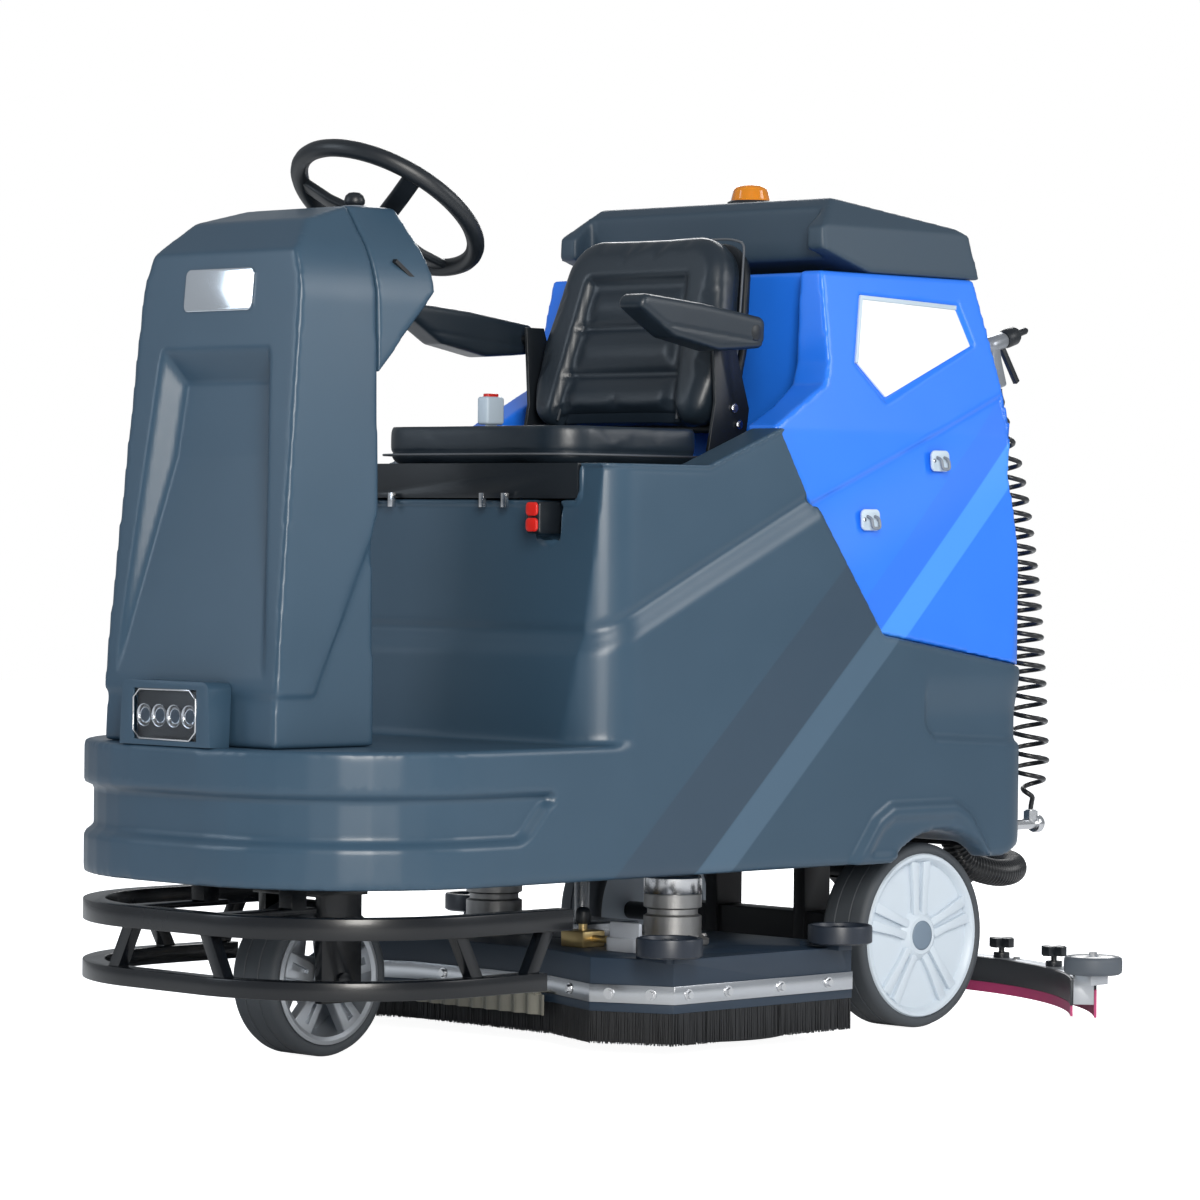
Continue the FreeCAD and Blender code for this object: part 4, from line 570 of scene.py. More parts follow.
# %% [markdown]
# ## The curly spray hose
# A thin black hose hangs from the spray gun to the water tap behind the tank, wound into a spring. The
# route is one smooth spline down the back. The loop walks along that line and swings a point round it:
# the turns are small and close at the top, where the hose hangs from the gun, and wider lower down.

# %% Route of the spray hose
def route_line(points):
    """Points read from a smooth NURBS spline through the hose's own route points, in metres."""
    curve = bpy.data.curves.new("route", "CURVE")
    curve.dimensions = "3D"
    spline = curve.splines.new("NURBS")
    spline.points.add(len(points) - 1)
    for point, place in zip(spline.points, points):
        point.co = (*place, 1)
    spline.order_u = 3
    spline.use_endpoint_u = True
    spline.resolution_u = 24
    holder = bpy.data.objects.new("route", curve)
    scene.collection.objects.link(holder)
    bpy.context.view_layer.update()
    mesh = bpy.data.meshes.new_from_object(holder.evaluated_get(bpy.context.evaluated_depsgraph_get()))
    line = [vert.co.copy() for vert in mesh.vertices]
    bpy.data.objects.remove(holder)
    bpy.data.curves.remove(curve)
    bpy.data.meshes.remove(mesh)
    return line


def along(line):
    """The distance from the start to each point of a line."""
    reach = [0.0]
    for first, second in zip(line, line[1:]):
        reach.append(reach[-1] + (second - first).length)
    return reach


def at(line, reach, distance):
    """The place at a distance along a line."""
    for number in range(1, len(line)):
        if reach[number] >= distance or number == len(line) - 1:
            span = reach[number] - reach[number - 1]
            share = (distance - reach[number - 1]) / span if span else 0
            return line[number - 1].lerp(line[number], min(max(share, 0), 1))


SPRAY_ROUTE = [(0.285, 0.664, 1.040), (0.288, 0.668, 0.980), (0.300, 0.692, 0.850), (0.302, 0.715, 0.640),
               (0.302, 0.733, 0.450), (0.302, 0.737, 0.3424)]
spray_line = route_line(SPRAY_ROUTE)
spray_reach = along(spray_line)
print("spray hose route", round(spray_reach[-1], 3), "m")

# %% [markdown]
# The coil is a helix wound round the route. It widens from the gun downwards and narrows at both ends. A
# NURBS curve with a round bevel follows its points, so the tube stays round in every turn.

# %% The hose's turns
HOSE_WIDE = 0.0085
TURNS = 23
STEPS = 16


def smooth_curve(name, points, width, paint):
    """A round cord along one NURBS spline."""
    curve = bpy.data.curves.new(name, "CURVE")
    curve.dimensions = "3D"
    spline = curve.splines.new("NURBS")
    spline.points.add(len(points) - 1)
    for point, place in zip(spline.points, points):
        point.co = (*place, 1)
    spline.order_u = 3
    spline.use_endpoint_u = True
    spline.resolution_u = 2
    curve.bevel_depth = width / 2
    curve.bevel_resolution = 2
    curve.use_fill_caps = True
    curve.materials.append(paint)
    holder = bpy.data.objects.new(name, curve)
    scene.collection.objects.link(holder)
    return holder


coil_points = [Vector((0.285, 0.664, 1.046)), Vector((0.285, 0.664, 1.040))]
for step in range(TURNS * STEPS + 1):
    share = step / (TURNS * STEPS)
    lag = share + 0.03 * math.sin(2 * math.pi * share)
    distance = 0.012 + (spray_reach[-1] - 0.03) * lag
    centre = at(spray_line, spray_reach, distance)
    wide = 0.019 + 0.0105 * ramp(share, 0.0, 0.6)
    wide *= min(1.0, 6 * share + 0.15, 16 * (1 - share) + 0.15)
    angle = 2 * math.pi * TURNS * share
    sway = 0.0015 * math.sin(angle / 5.3)
    coil_points.append(centre + Vector((wide * math.cos(angle), wide * math.sin(angle), sway)))
coil_points += [Vector((0.302, 0.737, 0.348)), Vector((0.302, 0.737, 0.3425))]
coil = smooth_curve("spray_hose_coil", coil_points, HOSE_WIDE, hose_black)
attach(coil, "chassis")
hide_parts("spray_hose")

# %% [markdown]
# ## The vacuum hose
# A ribbed hose carries dirty water from the squeegee up into the tank. It leaves the squeegee's port,
# curls round behind the rear wheel and turns up into the tank's outlet. Its ribs are rings of a mesh tube,
# so the tube is built by carrying one ring of points along the route and growing every other ring.

# %% Ribbed hose
VACUUM_ROUTE = [(0, 0.883, 0.132), (0, 0.884, 0.200), (0.080, 0.884, 0.240), (0.170, 0.850, 0.240),
                (0.232, 0.780, 0.232), (0.250, 0.700, 0.232), (0.240, 0.606, 0.262), (0.240, 0.600, 0.360)]
vacuum_line = route_line(VACUUM_ROUTE)
vacuum_reach = along(vacuum_line)
RIB = 0.0075
ring_count = int(vacuum_reach[-1] / RIB) * 4
tube = bmesh.new()
rings = []
way = Vector((0, 1, 0))
for number in range(ring_count + 1):
    distance = vacuum_reach[-1] * number / ring_count
    here = at(vacuum_line, vacuum_reach, distance)
    ahead = at(vacuum_line, vacuum_reach, distance + 0.002) - at(vacuum_line, vacuum_reach,
            distance - 0.002)
    ahead.normalize()
    way = (way - ahead * way.dot(ahead)).normalized()
    across = ahead.cross(way)
    swell = 0.0228 if number % 4 in (1, 2) else 0.0200
    rings.append([tube.verts.new(here + (way * math.cos(turn) + across * math.sin(turn)) * swell)
                  for turn in (2 * math.pi * step / 24 for step in range(24))])
for first, second in zip(rings, rings[1:]):
    bmesh.ops.bridge_loops(tube, edges=[
        tube.edges.get((loop[n], loop[n - 1])) or tube.edges.new((loop[n], loop[n - 1]))
        for loop in (first, second) for n in range(24)])
for loop in (rings[0], rings[-1]):
    tube.faces.new(loop)
bmesh.ops.recalc_face_normals(tube, faces=tube.faces[:])
vacuum_hose = piece("vacuum_hose_ribbed", tube, None, "hose_black", hose_black, replaces=("vacuum_hose",))

# The squeegee's arm lifts this hose's lower end, so the hose bends between the arm and the chassis.
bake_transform(vacuum_hose, "squeegee_arm", "chassis", start=(0, 0.883, 0.15), end=(0.24, 0.62, 0.30))

# %% [markdown]
# ## Lower body
# The lower body is one rotomoulded shell: the driver's platform with its round nose, and the seat box
# behind it, whose top edge climbs to the tank. The block is put together from outlines, remeshed soft,
# and then pressed: a panel round the nose, a chamfered platform edge and a step that sweeps up the side.

# %% Lower body outlines
NOSE, TAIL, HALF, LOW = -905, 664, 378, 275
SEAT_SIDE = [(-375, LOW), (-375, 478), (-345, 905), (-128, 905), (41, 968), (113, 854), (278, 641),
             (TAIL, 581), (TAIL, 300), (580, LOW)]
box_half = combine(
    block(SEAT_SIDE, (-HALF, HALF)),
    block([(-HALF, -375), (HALF, -375), (HALF, TAIL), (-HALF, TAIL)], (255, 990), "Z",
          [((0, 1), 95), ((2, 3), 80)]),
    "INTERSECT")
platform = block([(-HALF, NOSE), (HALF, NOSE), (HALF, -225), (-HALF, -225)], (LOW, 478), "Z",
                 [((0, 1), 300)])
lower = combine(box_half, platform, "UNION")
lower = combine(lower, block([(-299, -420), (299, -420), (299, 222), (-299, 222)], (849, 1000), "Z"))
lower = combine(lower, block([(-340, -840), (340, -840), (340, 600), (-340, 600)], (200, 300), "Z",
                             [((0, 1), 250)]))
for low, high in ((238, 420), (-420, -238)):
    lower = combine(lower, drum((415, 150), 172, (low, high), "X", 64))
lower = combine(lower, block([(218, -400), (256, -400), (256, -320), (218, -320)], (788, 849), "Z"))
print("lower body block", len(lower.faces), "faces")

# %% [markdown]
# The steps and hollows of the moulding are outlines on its side. One function says how deep the wall is
# pressed at each point, and the fine mesh is moved by that much.

# %% Lower body moulding
SWEEP = [(-420, 634), (-392, 634), (-330, 654), (-150, 737), (118, 858)]
PANEL_TOP, PANEL_LOW = 412, 334
PANEL_END = [(-1000, PANEL_TOP), (-466, PANEL_TOP), (-458, 402), (-512, 344), (-530, PANEL_LOW),
             (-1000, PANEL_LOW)]
REAR_STEP = [(375, 540), (379, 489), (402, 469), (700, 452), (700, 640), (380, 640)]
ARCH = [(180, 262), (252, 352), (292, 374), (452, 374), (492, 352), (562, 262)]


def sweep_height(y):
    """Height of the step's line at a place along the side."""
    for (y1, z1), (y2, z2) in zip(SWEEP, SWEEP[1:]):
        if y <= y2:
            return z1 + (z2 - z1) * (y - y1) / (y2 - y1)
    return 2000


def body_depth(x, y, z, normal):
    if normal.z > 0.7 or normal.z < -0.5 or z < 276:
        return 0
    deep = 0
    outer = abs(x) > 300 or (y < -330 and (y < -430 or abs(x) < 379) and z < 850)
    if y < 120 and -400 < y and z > 480 and outer:
        above = (z - sweep_height(y)) * 0.9
        deep += 9 * ramp(above, -32, -2) + 3.5 * ramp(above, -6, 2) * (1 - ramp(above, 6, 16))
    if z < 425 and y < -440:
        far = inside(PANEL_END, y, z)
        steep = 5 if z > 395 else 14
        deep += 15 * ramp(far, 0, steep)
    if y > 360 and 440 < z < 600:
        deep += 9 * ramp(inside(REAR_STEP, y, z), 0, 9) * (1 - ramp(z, 500, 580))
    if abs(x) > 350 and 150 < y < 600 and z < 400:
        deep -= 10 * ramp(inside(ARCH, y, z), 0, 12) - 5 * ramp(inside(ARCH, y, z), 26, 30)
    return deep


lower = mould(lower, 5, 8)
lower = press(lower, body_depth)
lower = soften(lower, 1, lambda x, y, z: True)
lower = thin(lower, 0.5)
lower_body = piece("lower_body", lower, "chassis", "body_plastic", slate_side, replaces=("main_body",))

# %% [markdown]
# ## Steering column
# The column is a hollow moulding with a flat leaning face, a long scoop pressed into it and a second,
# narrower skin below a slanting edge at the back.

# %% Column
COLUMN_SIDE = [(-858, 556), (-850, 660), (-797, 1212), (-745, 1262), (-650.5, 1286), (-650.5, 1031),
               (-650, 822),
               (-780, 566), (-784, 556)]
COLUMN_FACE = [(-201, 500), (-181, 1190), (-112, 1287), (112, 1287), (181, 1190), (201, 500)]
CORE_SIDE = [(-859, 478), (-848, 680), (-800, 1150), (-672, 1150), (-660, 900), (-660, 478)]
CORE_FACE = [(-196, 478), (-176, 1150), (176, 1150), (196, 478)]
hood = combine(block(COLUMN_SIDE, (-203, 203)), block(COLUMN_FACE, (-900, -600), "Y", [((1, 4), 50)]),
               "INTERSECT")
core = combine(block(CORE_SIDE, (-203, 203)), block(CORE_FACE, (-900, -600), "Y"), "INTERSECT")
column = combine(hood, core, "UNION")


def face_plane(z):
    """Y of the column's leaning face at a height."""
    return -850 + (z - 660) * 53 / 552


def scoop_depth(x, y, z, normal):
    if normal.y > -0.6 or z > 1080 or z < 560 or y > face_plane(z) + 30:
        return 0
    wide = 121 + (1066 - z) * 0.098
    top = (1067 - z) * 0.8
    side = (wide - abs(x)) * 1.5
    floor = 36 * min(max((z - 580) / 330, 0), 1)
    return max(min(top, side, floor), 0)


column = mould(column, 4, 14)
column = press(column, scoop_depth)
column = soften(column, 3, lambda x, y, z: y < -600 and 570 < z < 1085 and abs(x) < 170 and y < -740)
column_shell = piece("column_shell", column, "chassis", "body_plastic", slate, replaces=("column_cowl",))

# %% [markdown]
# The dash pod is what a side outline and the column's front outline have in common, moulded like the column.

# %% Dash pod
POD_SIDE = [(-649, 1033), (-649, 1286), (-553, 1288), (-529, 1182), (-529, 1160)]
pod = combine(block(POD_SIDE, (-203, 203)), block(COLUMN_FACE, (-700, -500), "Y", [((1, 4), 50)]),
              "INTERSECT")
pod = mould(pod, 4, 8)
piece("dash_shell", pod, "chassis", "body_plastic", slate, replaces=("dash_pod",))

# %% [markdown]
# ## Recovery tank
# The tank is the tall blue moulding behind the seat. Its side leans in, a crease sweeps up from the body
# to the back, and a shallow five-sided recess holds a pale panel.

# %% Tank
TANK_SIDE = [(41, 968.5), (172, 1040), (186, 1075), (196, 1222), (571, 1222), (606, 1060), (618, 985),
             (608, 900),
             (664, 582), (278, 642), (113, 855)]
TANK_FACE = [(-371, 581), (-352, 968), (-304, 1226), (304, 1226), (352, 968), (371, 581)]
tank = combine(block(TANK_SIDE, (-372, 372)), block(TANK_FACE, (0, 700), "Y"), "INTERSECT")
tank = combine(tank, block([(-372, 0), (372, 0), (372, TAIL), (-372, TAIL)], (560, 1230), "Z",
                           [((2, 3), 80)]),
               "INTERSECT")
tank = combine(tank, block([(-288, 0), (288, 0), (288, 100), (250, 224), (-250, 224), (-288, 100)],
                           (560, 1240), "Z"))
tank = combine(tank, block([(-240, 270), (240, 270), (240, 540), (-240, 540)], (900, 1300), "Z",
                           [((0, 1, 2, 3), 40)]))
tank = combine(tank, drum((240, 600), 21, (560, 600)), "UNION")
CREASE = [(95, 842), (620, 1042)]
RECESS = [(246, 1074), (280, 1190), (525, 1182), (553, 1112), (312, 1009)]


def tank_depth(x, y, z, normal):
    if abs(x) < 296 or abs(normal.x) < 0.6:
        return 0
    (y1, z1), (y2, z2) = CREASE
    below = (z1 + (z2 - z1) * (y - y1) / (y2 - y1) - z) * 0.93
    deep = 7 * ramp(below, -2, 9) * (1 - ramp(below, 14, 150))
    return deep + 5 * ramp(inside(RECESS, y, z), 0, 7)


tank = mould(tank, 4.2, 4)
tank = press(tank, tank_depth)
tank = thin(tank, 0.55)
tank_shell = piece("tank_shell", tank, "chassis", "tank_blue", tank_blue, replaces=("recovery_tank",))

# %% [markdown]
# A short pipe under the tank takes the vacuum hose. A plain drum with bevelled rims is enough.

# %% Tank outlet
outlet = drum((240, 600), 21, (362, 600))
piece("tank_outlet", rounded(outlet, 1.5), "chassis", "hose_black", hose_black)

# %% [markdown]
# ## Lid
# The lid's sides reach further down than its middle and wrap round the tank's front corners as two ears.

# %% Lid
LID_SIDE = [(205, 1258), (205, 1292), (267, 1344), (544, 1306), (568, 1294), (590, 1222.5), (318, 1222.5)]
LID_FACE = [(-303, 1222), (-297, 1296), (-259, 1346), (259, 1346), (297, 1296), (303, 1222)]
lid = combine(block(LID_SIDE, (-303, 303)), block(LID_FACE, (200, 600), "Y"), "INTERSECT")
lid = combine(lid, block([(190, 1200), (190, 1312), (246, 1330), (250, 1200)], (-262, 262)))
lid = combine(lid, drum((0, 356), 39, (1322, 1348)), "UNION")
for middle in (-170, 170):
    lid = combine(lid, block([(middle - 20, 580), (middle + 20, 580), (middle + 20, 594),
                              (middle - 20, 594)],
                             (1224, 1231.5), "Z"), "UNION")
    lid = combine(lid, drum((594, 1224), 7.5, (middle - 20, middle + 20), "X", 32), "UNION")
lid = mould(lid, 4, 7)
lid_shell = piece("lid_shell", lid, "lid", "body_plastic", lid_dark, replaces=("tank_lid",))

# %% [markdown]
# ## Turned, swept and softened pieces
# Three more makers: a profile turned about an axle gives wheels and knobs, a ring of points carried along
# a line gives rods, welts and hooks, and a copy of a frame node with its edges rounded gives the pressed
# and cast parts that keep their exact size.

# %% Turning, sweeping and softening
def turned(profile, centre, along="Z", segments=64):
    """A closed solid turned about an axle. profile: closed outline of (radius, place along), in mm."""
    bm = bmesh.new()
    lay = {"X": lambda a, b, c: (c, centre[0] + a, centre[1] + b), "Y": lambda a, b,
           c: (centre[0] + a, c, centre[1] + b),
           "Z": lambda a, b, c: (centre[0] + a, centre[1] + b, c)}[along]
    rings = []
    for radius, reach in profile:
        if radius < 0.01:
            rings.append([bm.verts.new(spot(*lay(0, 0, reach)))])
        else:
            rings.append([bm.verts.new(spot(*lay(radius * math.cos(turn), radius * math.sin(turn), reach)))
                          for turn in (2 * math.pi * step / segments for step in range(segments))])
    for first, second in zip(rings, rings[1:] + rings[:1]):
        if len(first) == 1 and len(second) == 1:
            continue
        for step in range(segments):
            after = (step + 1) % segments
            if len(first) == 1:
                bm.faces.new((first[0], second[step], second[after]))
            elif len(second) == 1:
                bm.faces.new((first[step], second[0], first[after]))
            else:
                bm.faces.new((first[step], second[step], second[after], first[after]))
    bmesh.ops.recalc_face_normals(bm, faces=bm.faces[:])
    return bm


def swept(points, radius, sides=10, closed=False):
    """A round bar along points given in mm."""
    bm = bmesh.new()
    places = [spot(*point) for point in points]
    count = len(places)
    way = Vector((0.13, 0.21, 0.97))
    rings = []
    for number, here in enumerate(places):
        if closed:
            ahead = places[(number + 1) % count] - places[number - 1]
        else:
            ahead = places[min(number + 1, count - 1)] - places[max(number - 1, 0)]
        ahead.normalize()
        way = (way - ahead * way.dot(ahead)).normalized()
        across = ahead.cross(way)
        rings.append([bm.verts.new(here + (way * math.cos(turn) + across * math.sin(turn)) * radius * MM)
                      for turn in (2 * math.pi * step / sides for step in range(sides))])
    joints = list(zip(rings, rings[1:]))
    if closed:
        joints.append((rings[-1], rings[0]))
    for first, second in joints:
        shift = 0
        if second is rings[0]:
            shift = min(range(sides), key=lambda n: (first[0].co - second[n].co).length)
        for step in range(sides):
            bm.faces.new((first[step], second[(step + shift) % sides], second[(step + 1 + shift) % sides],
                          first[(step + 1) % sides]))
    if not closed:
        bm.faces.new(rings[0])
        bm.faces.new(rings[-1])
    bmesh.ops.recalc_face_normals(bm, faces=bm.faces[:])
    return bm


def bend(corners, radius, steps=6):
    """Points of an open line with its corners rounded, in mm."""
    line = [Vector(corners[0])]
    for before, corner, after in zip(corners, corners[1:], corners[2:]):
        corner = Vector(corner)
        start = corner + (Vector(before) - corner).normalized() * radius
        end = corner + (Vector(after) - corner).normalized() * radius
        for step in range(steps + 1):
            share = step / steps
            line.append(start.lerp(corner, share).lerp(corner.lerp(end, share), share))
    line.append(Vector(corners[-1]))
    return line


def softened(name, width, slot_name, paint, segments=2):
    """A copy of a frame node with its edges rounded by a width in mm, in place of the node."""
    bm = bmesh.new()
    bm.from_mesh(nodes[name].data)
    bmesh.ops.remove_doubles(bm, verts=bm.verts[:], dist=0.00001)
    bm = rounded(bm, width, segments)
    return piece(name + "_soft", bm, body_of(nodes[name])[0], slot_name, paint, replaces=(name,),
                 crease=35)


def bolt(place, way, radius=6, high=5):
    """A hexagonal bolt head on its washer, facing along a direction."""
    bm = bmesh.new()
    for wide, low, top, sides in ((radius * 1.35, 0, 1.4, 24), (radius, 1.4, high, 6)):
        made = bmesh.ops.create_cone(bm, cap_ends=True, segments=sides, radius1=wide * MM,
                                     radius2=(wide * 0.92 if sides == 6 else wide) * MM,
                                     depth=(top - low) * MM)
        bmesh.ops.translate(bm, verts=made["verts"], vec=(0, 0, (low + top) / 2 * MM))
    turn = Vector(way).to_track_quat("Z", "Y").to_matrix().to_4x4()
    bmesh.ops.transform(bm, matrix=Matrix.Translation(spot(*place)) @ turn, verts=bm.verts[:])
    return bm


def screws(name, body, spots, radius=6, high=5, paint=None):
    """Several bolt heads as one piece. spots: (place, direction)."""
    heads = [bolt(place, way, radius, high) for place, way in spots]
    return piece(name, add(heads[0], *heads[1:]), body, "bright_steel", paint or steel, smooth=False)


# %% [markdown]
# ## The seat
# The cushion and the back are foam under sewn vinyl. Each starts as its outline, is blown up a little by
# a cloth simulation with air pressure inside, and then gets its sewn channels and piped seams. The back
# is made standing straight and then leaned.

# %% Puffing up foam
def puffed(bm, voxel, cap, frames=20):
    """Blow a closed mesh up as cloth with air in it, no point moving more than a cap in mm."""
    made = scratch(bm)
    grid = made.modifiers.new("grid", "REMESH")
    grid.mode, grid.voxel_size = "VOXEL", voxel * MM
    soft = made.modifiers.new("soft", "SMOOTH")
    soft.factor, soft.iterations = 0.5, 10
    bm = bake(made)
    before = [vert.co.copy() for vert in bm.verts]
    made = scratch(bm)
    cloth = made.modifiers.new("cloth", "CLOTH")
    cloth.settings.use_pressure = True
    cloth.settings.uniform_pressure_force = 4
    cloth.settings.tension_stiffness = 30
    cloth.settings.compression_stiffness = 30
    cloth.settings.effector_weights.gravity = 0
    cloth.point_cache.frame_start, cloth.point_cache.frame_end = 1, frames
    for number in range(1, frames + 1):
        scene.frame_set(number)
    bm = bake(made)
    scene.frame_set(1)
    bm.verts.ensure_lookup_table()
    for vert, start in zip(bm.verts, before):
        move = vert.co - start
        if move.length > cap * MM:
            vert.co = start + move.normalized() * cap * MM
    return bm


def groove(far, deep, wide):
    """How deep a sewn channel is at a distance from its line."""
    return deep * math.exp(-(far / wide) ** 2)


# %% [markdown]
# The cushion has a sunk insert with cross seams and a seam round its side. They are pressed into the puffed
# foam, and a thin swept line is the piping, painted a lighter grey than the vinyl as a painted highlight
# along the seams. Its points are kept inside the room that the seat has.

# %% Seat cushion
CUSHION = [(-222, -293), (222, -293), (222, 24), (-222, 24)]
cushion = block(CUSHION, (906, 972), "Z", [((0, 1), 66), ((2, 3), 34)])
cushion = puffed(rounded(cushion, 16, 4, 60), 5, 6)
INSERT = [(-118, -214), (118, -214), (126, 60), (-126, 60)]


def cushion_depth(x, y, z, normal):
    deep = 0
    if normal.z > 0.3 and z > 925:
        far = inside(INSERT, x, y)
        deep += 6 * ramp(far, -8, 26) + groove(far, 4, 4)
        if far > 0:
            deep += groove(abs((y + 214) % 66 - 33) - 33, 2.5, 4)
    if abs(normal.z) < 0.6:
        deep += groove(z - 924, 3, 3)
    return deep


cushion = press(cushion, cushion_depth)
for vert in cushion.verts:
    vert.co.z = min(max(vert.co.z, 905.4 * MM), 964.5 * MM)
    vert.co.x = min(max(vert.co.x, -227.5 * MM), 227.5 * MM)
seat_pad = piece("seat_pad", cushion, "seat", "seat_vinyl", vinyl, replaces=("seat_cushion",))
EDGE = [(-226, 0), (-226, -238), (-206, -282), (-162, -298), (162, -298), (206, -282), (226, -238),
        (226, 0)]
rim_line = bend([(x, y, 920) for x, y in EDGE], 14, 4)
piece("seat_pad_welt", swept(rim_line, 1.9, 8), "seat", "seat_vinyl", welt_painted_highlight)

# %% [markdown]
# The back is pressed while it stands straight, because its seams are level then, and is leaned afterwards.
# Three swollen bars lie between the seams of its insert.

# %% Seat back
LEAN = math.atan2(96 - 22, 1282 - 1004)
BACK_FOOT = (0, 26, 985)
BACK = [(-190, -6), (-205, 60), (-204, 130), (-170, 312), (170, 312), (204, 130), (205, 60), (190, -6)]


def leaned(bm):
    """Lean the straight back about its foot."""
    turn = Matrix.Rotation(-LEAN, 4, "X")
    bmesh.ops.transform(bm, matrix=Matrix.Translation(spot(*BACK_FOOT)) @ turn, verts=bm.verts[:])
    return bm


seat_back = puffed(rounded(block(BACK, (4, 66), "Y", [((3, 4), 58), ((0, 7), 30)]), 20, 5, 60), 5, 5)
BACK_INSERT = [(-142, -60), (-107, 233), (107, 233), (142, -60)]


def back_depth(x, y, z, normal):
    if normal.y > -0.25:
        return groove(abs(y - 50), 2.5, 3) if abs(normal.y) < 0.5 else 0
    far = inside(BACK_INSERT, x, z)
    deep = 15 * ramp(far, -14, 12) + groove(far, 3, 3.5)
    if far > -6:
        for seam in (78, 157):
            deep += groove(z - seam, 7, 6)
        swell = min(abs(z - seam) for seam in (-2, 78, 157, 236))
        deep -= 9 * ramp(swell, 0, 36) * ramp(far, 0, 34)
    return deep


seat_back = press(seat_back, back_depth)
back_pad = piece("back_pad", leaned(seat_back), "seat", "seat_vinyl", vinyl, replaces=("seat_back",))
insert_line = bend([(-135, 17, 2), (-107, 14, 233), (107, 14, 233), (135, 17, 2)], 16, 5)
outer_line = bend([(x * 1.005, 52, z) for x,
                   z in ((-190, -4), (-205, 60), (-204, 130), (-174, 306), (-140, 314),
                                                   (140, 314), (174, 306), (204, 130), (205, 60),
                                                   (190, -4))], 12, 4)
welts = add(swept(insert_line, 2.0, 8), swept(outer_line, 2.0, 8))
# The welts' lighter grey finish is a painted highlight along the piping.
piece("back_welts", leaned(welts), "seat", "seat_vinyl", welt_painted_highlight)

# %% [markdown]
# A thin plastic shell covers the back of the foam. The brackets keep the frame's shape, with softened edges
# and bolts.

# %% Back shell and brackets
shell_back = rounded(block(BACK, (64, 78), "Y", [((3, 4), 58), ((0, 7), 30)]), 5, 3, 60)
piece("back_shell", leaned(shell_back), "seat", "black_plastic", black_plastic)
softened("seat_brackets", 1.5, "black_plastic", black_plastic)
screws("bracket_bolts", "seat", [((side * (215 + 0.5), y, z), (side, 0, 0)) for side in (1, -1)
                                 for y, z in ((92, 1000), (104, 974), (60, 930))], 5.5, 4)

# %% [markdown]
# Each armrest is a side outline with rounded corners, moulded soft, with a seam along its side and a round
# cap over its pivot. One loop makes both.

# %% Armrests
ARM = [(-200, 1150), (-190, 1170), (-60, 1160), (86, 1142), (84, 1094), (40, 1090), (-20, 1086),
       (-120, 1104)]
for side, label in ((1, "left"), (-1, "right")):
    inner, outer = (234, 290) if side > 0 else (-290, -234)
    arm = block(ARM, (inner, outer), "X", [((3, 4), 12), ((0, 1), 9)])
    arm = mould(rounded(arm, 9, 4, 50), 3.2, 3)
    arm = press(arm, lambda x, y, z, normal: groove(z - 1128 + 0.09 * (y + 200), 1.5,
                                                    2) if abs(normal.z) < 0.6 else 0)
    pad = piece("armrest_pad_" + label, arm, "armrest_" + label, "seat_vinyl", vinyl,
                replaces=("armrest_" + label,))
    cap = turned([(0, 0), (14, 0), (14, 2.5), (11, 4), (0, 4)], (62, 1118), "X", 32)
    bmesh.ops.transform(cap, matrix=Matrix.Scale(side, 4, (1, 0, 0)), verts=cap.verts[:])
    bmesh.ops.translate(cap, verts=cap.verts[:], vec=spot(side * 286.5, 0, 0))
    bmesh.ops.recalc_face_normals(cap, faces=cap.faces[:])
    piece("armrest_cap_" + label, cap, "armrest_" + label, "black_plastic", black_plastic)

# %% [markdown]
# The buckle's head has a slot for the tongue and stands on a flat stalk. Its red button is the frame's own,
# with softened edges.

# %% Belt buckle
stalk = rounded(block([(-243, -18), (-237, -18), (-237, 4), (-243, 4)], (905.5, 978), "Z"), 1, 2)
head = rounded(block([(-253, -28), (-227, -28), (-227, 12), (-253, 12)], (975, 1021), "Z"), 5, 4)
slot_cut = block([(-247, -20), (-233, -20), (-233, 4), (-247, 4)], (1008, 1030), "Z")
head = combine(head, slot_cut)
piece("buckle_head", add(head, stalk), "seat", "grey_plastic", pale_grey, replaces=("belt_buckle",))
softened("buckle_button", 1.5, "red_plastic", red_plastic)

# %% [markdown]
# ## Wheels
# Each tyre is turned from a profile with rounded shoulders and fine grooves. The rear hubs are closed
# pale discs with five double ribs and a dark cap; the front wheel has five open silver spokes.

# %% Tyres
def tyre_profile(radius, rim, low, high, grooves=2):
    """Outline of a tyre from the rim out, with shoulders and shallow grooves."""
    line = [(rim, low + 4), (rim + 4, low), (radius - 9, low), (radius - 3, low + 3), (radius, low + 10)]
    for number in range(grooves):
        middle = low + (high - low) * (number + 1) / (grooves + 1)
        line += [(radius, middle - 2), (radius - 1.5, middle - 1), (radius - 1.5, middle + 1),
                 (radius, middle + 2)]
    return line + [(radius, high - 10), (radius - 3, high - 3), (radius - 9, high), (rim + 4, high),
                   (rim, high - 4)]


for name, axle, span, radius, rim in (
        ("front_tyre", (-611, 118), (-47, 47), 118, 100.2),
        ("rear_tyre_left", (415, 150), (255, 345), 150, 133.2),
        ("rear_tyre_right", (415, 150), (-345, -255), 150, 133.2)):
    tyre = turned(tyre_profile(radius, rim, *span), axle, "X", 96)
    piece(name + "_round", tyre, body_of(nodes[name])[0], "tyre_rubber", tyre_rubber, replaces=(name,),
          crease=50)

# %% [markdown]
# Each rear hub is a closed disc with five double ribs. The disc is spun from a profile, and each rib is a
# bevelled block turned about the axle.

